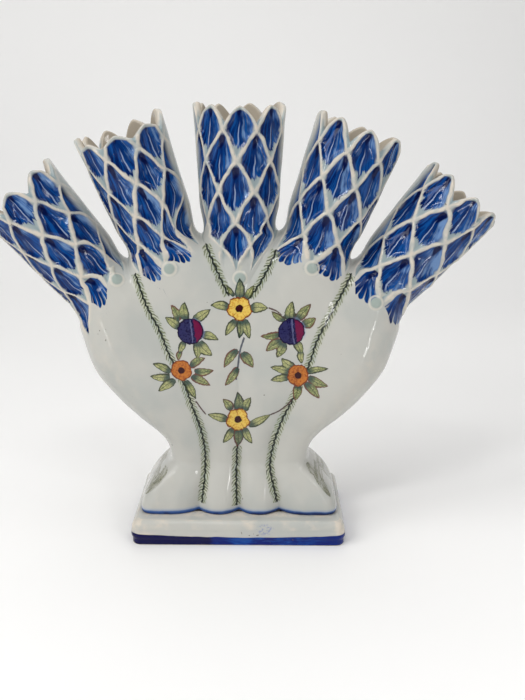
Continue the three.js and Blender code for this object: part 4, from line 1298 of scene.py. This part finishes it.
# Each lamp: name, place, target, size and watts
LAMPS = [
    ("window", (-.95, -.4, .8), (0, 0, .1), (.55, .8), 6),
    ("sky", (.05, .05, 1.15), (0, 0, .1), (1.2, 1.2), 6.4),
    ("room", (.95, -.35, .55), (0, 0, .1), (.6, .8), 1.4),
    ("low_pane", (.2, -.33, .05), (0, 0, .1), (.014, .08), .13),
    ("low_far_pane", (-.24, -.32, .05), (0, 0, .1), (.012, .06), .05),
]
# Small bright lamps in pairs, like the panes of a window
PANES = [
    ("pane", (-.42, -.55, .62), (0, 0, .1), (.05, .17), .75),
    ("roof_pane", (-.12, -.55, .95), (0, 0, .05), (.05, .13), .45),
    ("far_pane", (.5, -.62, .5), (0, 0, .1), (.045, .14), .5),
]
PANE_SHIFT = .045


def sweep():
    """Floor and wall in one sheet, with a wide bend between them."""
    rows = [(FLOOR_FRONT, 0), (BEND_START, 0)]
    rows += [(BEND_START + BEND_RADIUS * math.sin(t), BEND_RADIUS * (1 - math.cos(t)))
             for t in np.linspace(0, QUARTER, 13)[1:]]
    rows += [(BEND_START + BEND_RADIUS, WALL_TOP)]
    points = [(x, y, z) for y, z in rows for x in (-FLOOR_HALF_WIDTH, FLOOR_HALF_WIDTH)]
    faces = [(2 * i, 2 * i + 1, 2 * i + 3, 2 * i + 2) for i in range(len(rows) - 1)]
    mesh = bpy.data.meshes.new("floor")
    mesh.from_pydata(points, [], faces)
    mesh.polygons.foreach_set("use_smooth", np.ones(len(mesh.polygons), bool))
    floor = place_object("floor", mesh)
    material = bpy.data.materials.new("floor_pale")
    material.use_nodes = True
    inputs = material.node_tree.nodes["Principled BSDF"].inputs
    inputs["Base Color"].default_value = colour(*FLOOR_COLOUR)
    inputs["Roughness"].default_value = FLOOR_ROUGHNESS
    mesh.materials.append(material)


def softbox(name, place, target, size, power):
    lamp = bpy.data.lights.new(name, "AREA")
    lamp.shape, lamp.size, lamp.size_y = "RECTANGLE", *size
    lamp.energy = power
    holder = place_object(name, lamp)
    holder.location = place
    holder.rotation_euler = (Vector(target) - Vector(place)).to_track_quat("-Z", "Y").to_euler()


def place_camera():
    lens = bpy.data.cameras.new("camera")
    lens.sensor_fit, lens.sensor_height = "VERTICAL", SENSOR_LONG
    lens.lens = FOCAL_PIXELS / PICTURE_LONG * SENSOR_LONG
    lens.clip_start = .01
    camera = place_object("camera", lens)
    turn = Matrix.Rotation(QUARTER - CAMERA_PITCH, 4, "X") @ Matrix.Rotation(CAMERA_ROLL, 4, "Z")
    camera.matrix_world = Matrix.Translation(CAMERA_PLACE) @ turn
    bpy.context.scene.camera = camera


sweep()
for lamp in LAMPS:
    softbox(*lamp)
for side in (-PANE_SHIFT, PANE_SHIFT):
    for name, (x, y, z), target, size, power in PANES:
        softbox(name, (x + side, y, z), target, size, power)
world = bpy.data.worlds.new("world")
bpy.context.scene.world = world
world.use_nodes = True
background = world.node_tree.nodes["Background"].inputs
background["Color"].default_value = WORLD_COLOUR
background["Strength"].default_value = WORLD_STRENGTH
bpy.context.scene.view_settings.view_transform = "Standard"
place_camera()
